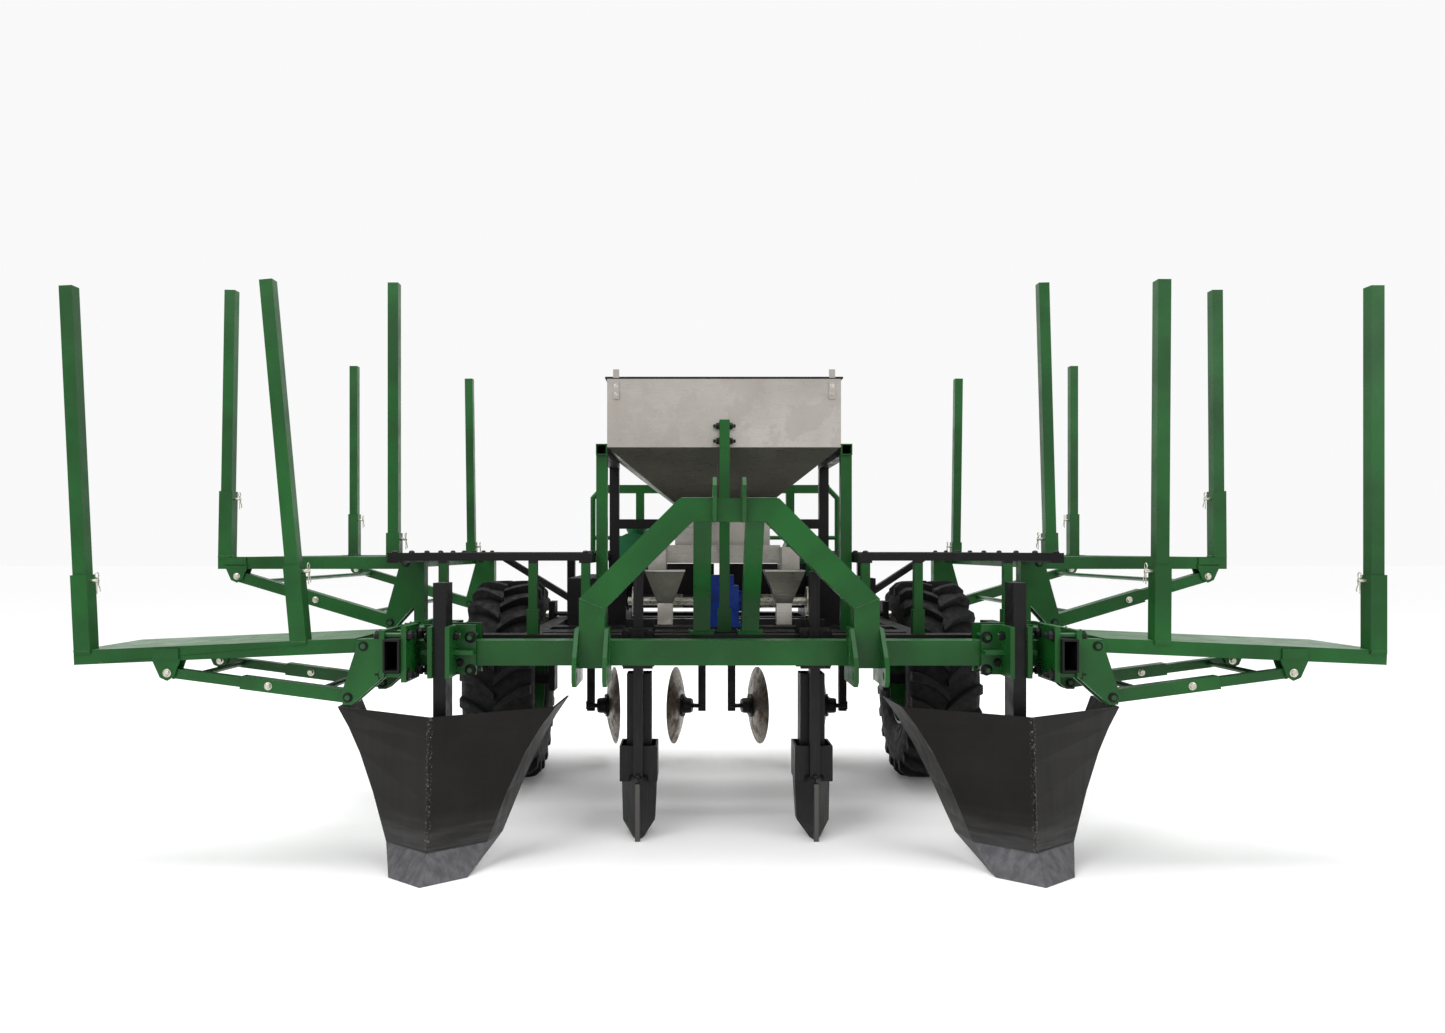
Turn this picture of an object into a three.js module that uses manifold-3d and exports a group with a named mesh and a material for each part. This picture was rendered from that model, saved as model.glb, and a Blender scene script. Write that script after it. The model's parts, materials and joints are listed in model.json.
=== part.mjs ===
// Two-row tractor-mounted stalk planter with folding stalk racks.
// Millimetres, +X to the machine's right, +Y to its rear, +Z up. The ground is Z = 0.
// Y is measured from the front face of the front beam and moved to the machine's middle at the end.
import * as THREE from "three";
import { mergeVertices } from "three/addons/utils/BufferGeometryUtils.js";
import Module from "manifold-3d";

const wasm = await Module();
wasm.setup();

// ---- driving dimensions ----
const gap = 0.3;                  // between pieces that touch
const frameBottom = 600;
const beam = 80;                  // square section of the toolbars
const beamWall = 8;
const beamTop = frameBottom + beam;
const sideBeam = { inner: 1000, width: 50, height: 100, front: -195, rear: 700 };
const middleBeamY = 230;
const rearBeamY = 1520;
const spine = { inner: 640, outer: 700 };
const crossBeams = [
  { y: 352, depth: 120 },
  { y: 610, depth: beam },
  { y: 1050, depth: 60 },
];
const originShift = 882;          // from the front beam's face to the middle of the whole machine

const hitch = { legX: 430, plate: 13, bottom: 551, top: 725, nose: -175, pinZ: 583, pinY: -143 };
const mast = { halfGap: 40, plate: 12, top: 1197, front: -112, pinZ: 1170 };
const crossbarTop = 1132;
const legShoulder = 818;
const brace = { x: 83, size: 58 };

const rowX = 900;                 // ridger centre lines
const shank = { width: 40, depth: 90, front: -105, bottom: 150, top: 868 };
const clampPlate = 14;
const clampBand = { bottom: 573, top: 732 };
const ridger = { skin: 8, tipZ: 0 };

const openerX = 298;
const openerShank = { width: 32, depth: 60, bottom: 200, top: 898 };

const rackTube = 40;
const lowerRack = {
  hingeX: 1115, hingeZ: 678, outerX: 2003, droop: 2.5, rail: rackTube, front: -157, depth: 399,
  strutFootX: 1162, strutFootZ: 522, strutHeadX: 1717, strutHeadZ: 595,
  strutTube: 40, strutBar: 30, tubeLength: 336, barStart: 70, deckInner: 1142,
};
const upperRack = {
  hingeX: 1199, hingeZ: 921, outerX: 1917, droop: 0, rail: 46, front: 625, depth: 1461,
  strutFootX: 1258, strutFootZ: 695, strutHeadX: 1843, strutHeadZ: 870,
  strutTube: 50, strutBar: 40, tubeLength: 357, barStart: 80, deckInner: 1226,
};
const pinRadius = 8;
const pinClearance = 0.9;
const pinHole = pinRadius + pinClearance;
const stake = { size: 40, wall: 3, fit: 1, socketWall: 4 };
const stakeSocket = stake.size + 2 * (stake.fit + stake.socketWall);
// From each rack's outer end to its outer sockets' centre lines.
const endInset = { lower: 27, upperFront: 26, upperRear: 57 };
// Each stake: its socket's centre line, the socket's top, the stake's top and its outward lean.
const lowerStakes = {
  outer: { x: lowerRack.outerX - endInset.lower, socketTop: 894, top: 1778, leanLeft: 2.75, leanRight: 0 },
  inner: { x: 1318, socketTop: 924, top: 1797, leanLeft: 5.2, leanRight: 0.4 },
};
const upperStakes = {
  front_outer: {
    x: upperRack.outerX - endInset.upperFront, socketTop: 1194, top: 1960, leanLeft: -1, leanRight: -0.4,
  },
  front_inner: { x: 1253, socketTop: 1035, top: 1988, leanLeft: 0, leanRight: -1.6 },
  rear_outer: { x: upperRack.outerX - endInset.upperRear, socketTop: 1155, top: 1920, leanLeft: 0, leanRight: 0 },
  rear_inner: { x: 1253, socketTop: 1010, top: 1855, leanLeft: 0.8, leanRight: 0.8 },
};

const platform = { inner: 466, outer: 1168, front: 260, rear: 2086, bottom: 925, top: 960, slat: 42, slats: 9 };
const platformPosts = [484, 666, 976];
const lidStrapX = 389;
const hopper = {
  halfWidth: 422, front: 424, rear: 1174, top: 1589, boxBottom: 1341,
  throatHalf: 180, funnelBottom: 1149, throatBottom: 989, wall: 3,
};
const standPost = 40;
const standFrontY = 432;
const standRearY = 1060;
const standTop = 1353;
const metering = { halfWidth: 215, front: 560, rear: 1000, bottom: 921 };
const funnel = { x: 211, y: 386, halfTop: 70.5, halfBottom: 27, top: 895, neck: 781, bottom: 706 };
const motor = { halfWidth: 61, front: 592, rear: 708, top: 875 };
const shaft = { y: 650, z: 775, radius: 15, half: 360 };
const wheel = { x: 893, y: 1162, radius: 419, width: 290, rim: 195, axle: 28, sides: 24 };
const disc = { radius: 175, y: 1462, z: 257, yaw: 12, dish: 36, skin: 4, xs: { inner: 190, outer: 470 } };
const discArm = { size: 35, inner: 68, outer: 578 };
const unit = { inner: 372, outer: 600, front: 720, rear: 1440, top: 860 };
const apron = { inner: 20, y: 1130, thickness: 6, bottom: 722, top: 912 };
const cup = { x: 360, y: 1345, rimRadius: 66, neckRadius: 38, rimZ: 1101, coneZ: 1037, bottom: 960 };
const guard = { y: 1773, top: 1288, postX: 367, legX: 598, tube: 40 };

// ---- materials ----
const paint = (name, color, roughness, metalness) =>
  new THREE.MeshStandardMaterial({ name, color, roughness, metalness });
const green = paint("green_paint", 0x1c6a2a, 0.35, 0.1);
const black = paint("black_paint", 0x1c1a18, 0.5, 0.2);
const soilSteel = paint("ridger_steel", 0x2a2725, 0.45, 0.5);
const stainless = paint("stainless", 0xaca398, 0.35, 0.9);
const zinc = paint("zinc", 0x8a8c80, 0.35, 0.9);
const blue = paint("blue_paint", 0x0c3ca8, 0.35, 0.1);
const discSteel = paint("disc_steel", 0x5f5246, 0.5, 0.8);
const rubber = paint("tyre_rubber", 0x0c0c0c, 0.85, 0);

// ---- shapes ----
const yAxis = new THREE.Vector3(0, 1, 0);
const zAxis = new THREE.Vector3(0, 0, 1);
const vec = (x, y, z) => new THREE.Vector3(x, y, z);
const radians = THREE.MathUtils.degToRad;

function solid(geometry) {
  const bare = geometry.clone();
  bare.deleteAttribute("normal");
  bare.deleteAttribute("uv");
  const merged = mergeVertices(bare, 1e-4);
  return new wasm.Manifold(new wasm.Mesh({
    numProp: 3,
    vertProperties: new Float32Array(merged.attributes.position.array),
    triVerts: new Uint32Array(merged.index.array),
  }));
}

function geometryOf(shape) {
  const mesh = shape.getMesh();
  const geometry = new THREE.BufferGeometry();
  geometry.setAttribute("position", new THREE.BufferAttribute(new Float32Array(mesh.vertProperties), 3));
  geometry.setIndex(new THREE.BufferAttribute(new Uint32Array(mesh.triVerts), 1));
  return geometry;
}

function join(...shapes) {
  return shapes.reduce((sum, shape) => sum.add(shape));
}

function mirrored(shape) {
  const geometry = geometryOf(shape);
  geometry.scale(-1, 1, 1);
  const index = geometry.index.array;
  for (let i = 0; i < index.length; i += 3) {
    [index[i], index[i + 1]] = [index[i + 1], index[i]];
  }
  return solid(geometry);
}

function box(x0, x1, y0, y1, z0, z1) {
  const geometry = new THREE.BoxGeometry(x1 - x0, y1 - y0, z1 - z0);
  geometry.translate((x0 + x1) / 2, (y0 + y1) / 2, (z0 + z1) / 2);
  return solid(geometry);
}

// A box made hollow along one axis ("x", "y" or "z"), open at both ends.
function tube(x0, x1, y0, y1, z0, z1, wall, along) {
  const inset = { x: wall, y: wall, z: wall, [along]: -1 };
  const inner = box(x0 + inset.x, x1 - inset.x, y0 + inset.y, y1 - inset.y, z0 + inset.z, z1 - inset.z);
  return box(x0, x1, y0, y1, z0, z1).subtract(inner);
}

// A straight square bar between two points; "side" is the direction that its depth runs along.
function bar(from, to, across, depth, side = yAxis) {
  const along = to.clone().sub(from);
  const length = along.length();
  const geometry = new THREE.BoxGeometry(across, depth, length);
  const z = along.normalize();
  const x = side.clone().cross(z).normalize();
  const y = z.clone().cross(x);
  geometry.applyMatrix4(new THREE.Matrix4().makeBasis(x, y, z));
  const middle = from.clone().add(to).multiplyScalar(0.5);
  geometry.translate(middle.x, middle.y, middle.z);
  return solid(geometry);
}

function rod(from, to, radius, sides = 12) {
  const along = to.clone().sub(from);
  const geometry = new THREE.CylinderGeometry(radius, radius, along.length(), sides);
  geometry.applyQuaternion(new THREE.Quaternion().setFromUnitVectors(yAxis, along.normalize()));
  const middle = from.clone().add(to).multiplyScalar(0.5);
  geometry.translate(middle.x, middle.y, middle.z);
  return solid(geometry);
}

// A flat plate with its outline in X and Z, from y0 to y1.
function plateFacingY(points, y0, y1) {
  const shape = new THREE.Shape(points.map(([x, z]) => new THREE.Vector2(x, z)));
  const geometry = new THREE.ExtrudeGeometry(shape, { depth: y1 - y0, bevelEnabled: false });
  geometry.rotateX(Math.PI / 2);
  geometry.translate(0, y1, 0);
  return solid(geometry);
}

// A flat plate with its outline in Y and Z, from x0 to x1.
function plateFacingX(points, x0, x1) {
  const shape = new THREE.Shape(points.map(([y, z]) => new THREE.Vector2(y, z)));
  const geometry = new THREE.ExtrudeGeometry(shape, { depth: x1 - x0, bevelEnabled: false });
  geometry.applyMatrix4(new THREE.Matrix4().makeBasis(yAxis, zAxis, vec(1, 0, 0)));
  geometry.translate(x0, 0, 0);
  return solid(geometry);
}

// A closed skin over rings of points that all run the same way round, lowest ring first.
function loft(rings) {
  const count = rings[0].length;
  const positions = rings.flat().flat();
  const index = [];
  for (let r = 0; r + 1 < rings.length; r++) {
    for (let i = 0; i < count; i++) {
      const a = r * count + i;
      const b = r * count + (i + 1) % count;
      index.push(a, b, b + count, a, b + count, a + count);
    }
  }
  const caps = THREE.ShapeUtils.triangulateShape(rings[0].map(([x, y]) => new THREE.Vector2(x, y)), []);
  const last = (rings.length - 1) * count;
  for (const [a, b, c] of caps) {
    index.push(a, c, b, last + a, last + b, last + c);
  }
  const geometry = new THREE.BufferGeometry();
  geometry.setAttribute("position", new THREE.Float32BufferAttribute(positions, 3));
  geometry.setIndex(index);
  return solid(geometry);
}

function rectangleRing(x0, x1, y0, y1, z) {
  return [[x0, y0, z], [x1, y0, z], [x1, y1, z], [x0, y1, z]];
}

// A solid of revolution about Z from [radius, z] points.
function turned(points, sides) {
  return solid(new THREE.LatheGeometry(points.map(([r, z]) => new THREE.Vector2(r, z)), sides)
    .rotateX(Math.PI / 2));
}

function moved(shape, matrix) {
  const geometry = geometryOf(shape);
  geometry.applyMatrix4(matrix);
  return solid(geometry);
}

function hingePin(x, z, y0, y1, radius = pinRadius) {
  return rod(vec(x, y0, z), vec(x, y1, z), radius, 10);
}

// ---- the machine ----
const machine = new THREE.Group();
machine.name = "stalk_planter";
machine.position.set(0, -originShift, 0);

function place(name, shape, material) {
  const mesh = new THREE.Mesh(geometryOf(shape), material);
  mesh.name = name;
  machine.add(mesh);
}

// Places one copy on the right (+X) and its mirror image on the left.
function placePair(name, rightShape, material) {
  place(`${name}_right`, rightShape, material);
  place(`${name}_left`, mirrored(rightShape), material);
}

function frontBeam() {
  const half = sideBeam.inner - gap;
  return tube(-half, half, 0, beam, frameBottom, beamTop, beamWall, "x");
}

function mainFrame() {
  const reach = sideBeam.inner + 3;
  const top = frameBottom + sideBeam.height;
  const right = sideBeam.inner + sideBeam.width;
  const crossReach = spine.inner + 25;
  let frame = box(-reach, reach, middleBeamY, middleBeamY + beam, frameBottom, beamTop);
  frame = frame.add(box(-spine.outer, spine.outer, rearBeamY, rearBeamY + beam, frameBottom, beamTop));
  for (const side of [-1, 1]) {
    const outer = side > 0 ? [sideBeam.inner, right] : [-right, -sideBeam.inner];
    const tubeShape = tube(...outer, sideBeam.front, sideBeam.rear, frameBottom, top, 6, "y");
    const inner = side > 0 ? [spine.inner, spine.outer] : [-spine.outer, -spine.inner];
    frame = join(frame, tubeShape, box(...inner, middleBeamY, rearBeamY + beam, frameBottom, beamTop));
  }
  for (const { y, depth } of crossBeams) {
    frame = frame.add(box(-crossReach, crossReach, y, y + depth, frameBottom + beam / 2, beamTop));
  }
  const bore = beam / 2 - beamWall;
  const z = frameBottom + beam / 2;
  for (const y of [middleBeamY + beam / 2, rearBeamY + beam / 2]) {
    const reachX = spine.inner - 20;
    frame = frame.subtract(box(-reachX, reachX, y - bore, y + bore, z - bore, z + bore));
    frame = frame.subtract(rod(vec(0, y, frameBottom - 5), vec(0, y, z), 12, 8));
  }
  return frame;
}

function aFrameOutline(inset) {
  const out = hitch.legX + beam / 2 - inset;
  const inn = hitch.legX - beam / 2 + inset;
  const lift = inset * (Math.SQRT2 - 1);
  const shoulder = legShoulder - lift;
  const armpit = legShoulder - beam * (Math.SQRT2 - 1) + lift;
  const top = crossbarTop - inset;
  const under = crossbarTop - beam + 7 + inset;
  const foot = frameBottom - (inset > 0 ? 10 : 0);
  const right = [
    [out, foot], [out, shoulder], [out - (top - shoulder), top],
    [-out + (top - shoulder), top], [-out, shoulder], [-out, foot],
    [-inn, foot], [-inn, armpit], [-inn + (under - armpit), under],
    [inn - (under - armpit), under], [inn, armpit], [inn, foot],
  ];
  return right;
}

function headstock() {
  let frame = plateFacingY(aFrameOutline(0), -beam, -gap);
  frame = frame.subtract(plateFacingY(aFrameOutline(beamWall), -beam + beamWall, -gap - beamWall));
  const legHalf = beam / 2;
  const nose = hitch.nose;
  const plateOutline = [
    [nose, hitch.bottom + 18], [nose + 18, hitch.bottom], [40, hitch.bottom], [40, frameBottom - gap],
    [-gap, frameBottom - gap], [-gap, hitch.top], [-beam, hitch.top], [nose + 18, hitch.bottom + 90],
    [nose, hitch.bottom + 62],
  ];
  const plates = [-legHalf - hitch.plate, legHalf];
  for (const side of [-1, 1]) {
    for (const start of plates) {
      const x0 = side * hitch.legX + start;
      const hole = rod(vec(x0 - 5, hitch.pinY, hitch.pinZ), vec(x0 + hitch.plate + 5, hitch.pinY, hitch.pinZ), 14);
      frame = frame.add(plateFacingX(plateOutline, x0, x0 + hitch.plate).subtract(hole));
    }
    const mastX = side > 0 ? mast.halfGap : -mast.halfGap - mast.plate;
    const mastOutline = [
      [mast.front + 16, crossbarTop - beam + 6], [-gap, crossbarTop - beam + 6], [-gap, crossbarTop + 25],
      [-42, mast.top], [mast.front + 22, mast.top], [mast.front, mast.top - 26], [mast.front, mast.top - 60],
    ];
    const mastHole = rod(vec(mastX - 5, -77, mast.pinZ), vec(mastX + mast.plate + 5, -77, mast.pinZ), 13);
    frame = frame.add(plateFacingX(mastOutline, mastX, mastX + mast.plate).subtract(mastHole));
    const braceFoot = vec(side * brace.x, middleBeamY + beam / 2, beamTop + 10);
    const braceHead = vec(side * brace.x, -beam / 2, crossbarTop - beam / 2);
    const foot = [braceFoot.x - 42, braceFoot.x + 42, middleBeamY, middleBeamY + beam];
    const below = box(foot[0], foot[1], middleBeamY - 40, middleBeamY + beam + 40, beamTop - 100, beamTop + gap);
    const strut = bar(braceFoot, braceHead, brace.size, brace.size, vec(1, 0, 0)).subtract(below);
    frame = join(frame, strut, box(...foot, beamTop + gap, beamTop + 12));
  }
  const drainHole = box(-18, 18, -beam / 2 - 12, -beam / 2 + 12, crossbarTop - beam, crossbarTop - beam / 2);
  return frame.subtract(drainHole);
}

// Two plates and four bolts that clamp a piece in front of a beam.
function beamClamp(x0, x1, y0, y1, plate, band, boltInset, boltRadius) {
  const rear = y1 + gap;
  let shape = box(x0, x1, rear, rear + plate, band.bottom, band.top);
  for (const x of [x0 + boltInset, x1 - boltInset]) {
    for (const z of [frameBottom - 12, beamTop + 12]) {
      shape = shape.add(rod(vec(x, y0 - plate - 20, z), vec(x, rear + plate + 22, z), boltRadius, 6));
    }
  }
  return shape;
}

function ridgerClamp() {
  const inner = shank.width / 2 + gap;
  const front = shank.front - 15;
  const face = { left: rowX - 94, right: rowX + 70 };
  let shape = beamClamp(face.left, face.right, 0, beam, clampPlate, clampBand, 16, 8);
  shape = shape.add(box(face.left, face.right, -clampPlate, -gap, clampBand.bottom, clampBand.top));
  for (const x0 of [rowX - inner - clampPlate, rowX + inner]) {
    shape = shape.add(box(x0, x0 + clampPlate, front, -gap - 2, clampBand.bottom, clampBand.top));
  }
  const rib = { z: 640, thick: 12 };
  shape = shape.add(box(face.left, rowX - inner, -60, -clampPlate, rib.z, rib.z + rib.thick));
  shape = shape.add(box(rowX + inner, face.right, -60, -clampPlate, rib.z, rib.z + rib.thick));
  const bolt = { z: 700, radius: 9 };
  for (const side of [-1, 1]) {
    const from = rowX + side * (inner + 4);
    shape = shape.add(rod(vec(from, -60, bolt.z), vec(from + side * 32, -60, bolt.z), bolt.radius, 6));
  }
  return shape;
}

function ridgerShank() {
  const half = shank.width / 2;
  return box(rowX - half, rowX + half, shank.front, shank.front + shank.depth, shank.bottom, shank.top);
}

// One level of the V-shaped body: half width, apex, where the V ends and how far its tail runs back.
function ridgerRing({ z, half, apexY, back, tail, spread }) {
  const skinX = ridger.skin;
  const skinY = ridger.skin * Math.hypot(half, back) / half;
  const endY = apexY + back;
  const right = [
    [half, endY, z], [half + spread, endY + tail, z],
    [half + spread - skinX, endY + tail, z], [half - skinX, endY + skinY * 0.4, z],
  ];
  const left = right.map(([x, y, level]) => [-x, y, level]).reverse();
  return [[0, apexY, z], ...right, [0, apexY + skinY, z], ...left].map(([x, y, level]) => [x + rowX, y, level]);
}

function ridgerBody() {
  const levels = [
    { z: ridger.tipZ, half: 117, apexY: -345, back: 96, tail: 40, spread: 2 },
    { z: 76, half: 155, apexY: -261, back: 121, tail: 118, spread: 26 },
    { z: 135, half: 177, apexY: -256, back: 133, tail: 150, spread: 25 },
    { z: 220, half: 208, apexY: -249, back: 149, tail: 184, spread: 24 },
    { z: 336, half: 260, apexY: -240, back: 175, tail: 222, spread: 22 },
    { z: 410, half: 304, apexY: -234, back: 197, tail: 242, spread: 18 },
    { z: 470, half: 348, apexY: -230, back: 219, tail: 258, spread: 14 },
  ];
  let shape = loft(levels.map(ridgerRing));
  const inner = shank.width / 2 + gap;
  const cheek = 20;
  for (const x0 of [rowX - inner - cheek, rowX + inner]) {
    shape = shape.add(box(x0, x0 + cheek, -203, shank.front + shank.depth - 5, 170, 440));
  }
  const rear = shank.front + shank.depth + gap;
  const brace = { z: 300, height: 60 };
  const tie = inner + cheek;
  shape = shape.add(box(rowX - tie, rowX + tie, rear, rear + 14, brace.z, brace.z + brace.height));
  shape = shape.add(box(rowX - tie, rowX - inner, rear - 20, rear + 14, brace.z, brace.z + brace.height));
  shape = shape.add(box(rowX + inner, rowX + tie, rear - 20, rear + 14, brace.z, brace.z + brace.height));
  return shape;
}

function bootRing(z, half, apexY, endY, tailY) {
  const skin = 5;
  const right = [[half, endY, z], [half, tailY, z], [half - skin, tailY, z], [half - skin, endY + 3, z]];
  const left = right.map(([x, y, level]) => [-x, y, level]).reverse();
  return [[0, apexY, z], ...right, [0, apexY + 12, z], ...left].map(([x, y, level]) => [x + openerX, y, level]);
}

function opener() {
  const half = openerShank.width / 2;
  const shankRear = middleBeamY - gap;
  const shankFront = shankRear - openerShank.depth;
  const strap = 14;
  const clamp = { half: 50, bottom: 562, top: 728 };
  let shape = box(openerX - half, openerX + half, shankFront, shankRear, openerShank.bottom, openerShank.top);
  shape = shape.add(beamClamp(openerX - clamp.half, openerX + clamp.half, shankFront, middleBeamY + beam,
    strap, clamp, 12, 7));
  for (const z of [frameBottom - 12, beamTop + 12]) {
    shape = shape.add(box(openerX - clamp.half, openerX + clamp.half, shankFront - strap, shankFront + 2,
      z - 16, z + 16));
  }
  const head = { half: 64, front: 205, rear: 345, bottom: 184, top: 304, wall: 6 };
  shape = shape.add(tube(openerX - head.half, openerX + head.half, head.front, head.rear,
    head.bottom, head.top, head.wall, "z"));
  const bootHalf = head.half - 3;
  const bootTail = head.rear - 3;
  shape = shape.add(loft([
    bootRing(0, 17, 139, 185, 240),
    bootRing(46, bootHalf - 6, 139, 240, 300),
    bootRing(head.bottom + 20, bootHalf, 139, 262, bootTail),
  ]));
  shape = shape.add(box(openerX - half / 2, openerX + half / 2, 130, 152, 0, head.bottom + 6));
  shape = shape.add(box(openerX - 6, openerX + 6, 150, shankFront + 20, 120, head.bottom + 30));
  const chute = { half: 42, front: shankRear + 14, rear: 338, bottom: 250, top: 545 };
  shape = shape.add(tube(openerX - chute.half, openerX + chute.half, chute.front, chute.rear,
    chute.bottom, chute.top, 4, "z"));
  shape = shape.add(box(openerX - 8, openerX + 8, shankRear - 4, chute.front + 3, 380, 420));
  return shape;
}

// The two places along Y where a rack is hinged: the middles of its front and rear rails.
function stations(rack) {
  return [rack.front + rack.rail / 2, rack.front + rack.depth - rack.rail / 2];
}

// The pair of plates at one station that carries the rack's hinge pin and the strut's foot pin.
function hingePlates(outline, rack, y) {
  const slot = rack.rail / 2 + 3;
  const plate = 12;
  return join(
    plateFacingY(outline, y - slot - plate, y - slot),
    plateFacingY(outline, y + slot, y + slot + plate),
    hingePin(rack.hingeX, rack.hingeZ, y - slot - plate - 8, y + slot + plate + 8),
    hingePin(rack.strutFootX, rack.strutFootZ, y - slot - plate - 8, y + slot + plate + 8),
  );
}

function lowerRackBracket() {
  const face = sideBeam.inner + sideBeam.width + gap;
  const plate = 16;
  const top = frameBottom + sideBeam.height;
  const { hingeX, hingeZ, strutFootX, strutFootZ } = lowerRack;
  const ends = stations(lowerRack);
  const outline = [
    [face + 2, hingeZ + 22], [hingeX - 10, hingeZ + 22], [hingeX + 20, hingeZ + 14], [hingeX + 24, hingeZ - 12],
    [strutFootX + 24, strutFootZ], [strutFootX + 14, strutFootZ - 22], [strutFootX - 12, strutFootZ - 22],
    [face + 2, strutFootZ + 64],
  ];
  let shape = box(face, face + plate, ends[0] - 40, ends[1] + 38, 584, 726);
  for (const y of ends) {
    shape = shape.add(hingePlates(outline, lowerRack, y));
  }
  const inner = sideBeam.inner - gap;
  for (const [y0, y1] of [[ends[0] - 40, -20], [105, 205]]) {
    shape = shape.add(box(inner - plate, inner, y0, y1, 568, 738));
    for (const y of [y0 + 18, y1 - 18]) {
      for (const z of [frameBottom - 10, top + 10]) {
        shape = shape.add(rod(vec(inner - plate - 14, y, z), vec(face + plate + 20, y, z), 8, 6));
      }
    }
  }
  return shape;
}

const railDrop = (rack, x) => (x - rack.hingeX) * Math.tan(radians(rack.droop));

// The middle line and lean of a stake and of its socket, from the rack's rail upwards.
function stakeLine(rack, spec, y, lean) {
  const foot = vec(spec.x, y, rack.hingeZ - railDrop(rack, spec.x) + rack.rail / 2 + 6);
  const up = vec(Math.sin(radians(lean)), 0, Math.cos(radians(lean)));
  const at = (z) => foot.clone().addScaledVector(up, (z - foot.z) / up.z);
  return { foot, up, at };
}

function socket(rack, spec, y, lean) {
  const line = stakeLine(rack, spec, y, lean);
  const start = line.foot.clone().addScaledVector(line.up, -14);
  const bore = stake.size + 2 * stake.fit;
  const outer = bar(start, line.at(spec.socketTop), stakeSocket, stakeSocket);
  const inner = bar(line.foot, line.at(spec.socketTop + 20), bore, bore);
  return outer.subtract(inner);
}

function stakeShape(rack, spec, y, lean) {
  const line = stakeLine(rack, spec, y, lean);
  const start = line.foot.clone().addScaledVector(line.up, gap);
  const inner = stake.size - 2 * stake.wall;
  const hollowStart = start.clone().addScaledVector(line.up, -5);
  return bar(start, line.at(spec.top), stake.size, stake.size)
    .subtract(bar(hollowStart, line.at(spec.top - stake.wall), inner, inner));
}

// Rails, end rail, deck, strut brackets and stake sockets of one rack, on the right side.
function rackFrame(rack, sockets, longRails, deckThickness) {
  const ends = stations(rack);
  const reach = rack.outerX;
  const half = rack.rail / 2;
  const lineAt = (x, y, above = 0) => vec(x, y, rack.hingeZ - railDrop(rack, x) + above);
  let shape = null;
  for (const y of ends) {
    const rail = bar(lineAt(rack.hingeX - 20, y), lineAt(reach, y), rack.rail, rack.rail);
    shape = shape ? shape.add(rail) : rail;
    const bracket = plateFacingY([
      [rack.strutHeadX - 40, rack.strutHeadZ + 44], [rack.strutHeadX + 48, rack.strutHeadZ + 44],
      [rack.strutHeadX + 22, rack.strutHeadZ - 14], [rack.strutHeadX, rack.strutHeadZ - 24],
      [rack.strutHeadX - 22, rack.strutHeadZ - 10],
    ], 0, 6);
    const reachUp = rack.strutBar / 2 + 2.5;
    for (const offset of [-reachUp - 6, reachUp]) {
      const matrix = new THREE.Matrix4().makeTranslation(0, y + offset, 0);
      shape = shape.add(moved(bracket, matrix));
    }
  }
  for (const x of [...longRails, reach - half]) {
    shape = shape.add(bar(lineAt(x, ends[0]), lineAt(x, ends[1]), rack.rail, rack.rail - 2, zAxis));
  }
  if (deckThickness > 0) {
    const from = lineAt(rack.deckInner, (ends[0] + ends[1]) / 2, half + deckThickness / 2 - 1);
    const to = lineAt(reach, (ends[0] + ends[1]) / 2, half + deckThickness / 2 - 1);
    shape = shape.add(bar(from, to, deckThickness, rack.depth));
  }
  for (const y of ends) {
    shape = shape.subtract(hingePin(rack.hingeX, rack.hingeZ, y - 40, y + 40, pinHole));
  }
  for (const { spec, y, lean } of sockets) {
    shape = shape.add(socket(rack, spec, y, lean));
  }
  return shape;
}

function strutDirection(rack) {
  return vec(rack.strutHeadX - rack.strutFootX, 0, rack.strutHeadZ - rack.strutFootZ).normalize();
}

function strutTubes(rack) {
  const along = strutDirection(rack);
  const foot = (y, distance) => vec(rack.strutFootX, y, rack.strutFootZ).addScaledVector(along, distance);
  const bore = rack.strutBar + 2;
  const tie = 110;
  const ends = stations(rack);
  let shape = rod(foot(ends[0], tie), foot(ends[1], tie), 10, 8);
  for (const y of ends) {
    shape = shape.add(bar(foot(y, -16), foot(y, rack.tubeLength), rack.strutTube, rack.strutTube));
  }
  for (const y of ends) {
    shape = shape.subtract(bar(foot(y, rack.barStart - 12), foot(y, rack.tubeLength + 10), bore, bore));
    shape = shape.subtract(hingePin(rack.strutFootX, rack.strutFootZ, y - 40, y + 40, pinHole));
  }
  return shape;
}

function strutBars(rack) {
  const along = strutDirection(rack);
  const foot = (y, distance) => vec(rack.strutFootX, y, rack.strutFootZ).addScaledVector(along, distance);
  const length = Math.hypot(rack.strutHeadX - rack.strutFootX, rack.strutHeadZ - rack.strutFootZ);
  const ends = stations(rack);
  let shape = rod(foot(ends[0], length - 75), foot(ends[1], length - 75), 9, 8);
  for (const y of ends) {
    shape = shape.add(bar(foot(y, rack.barStart), foot(y, length + 14), rack.strutBar, rack.strutBar));
  }
  return shape;
}

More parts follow.
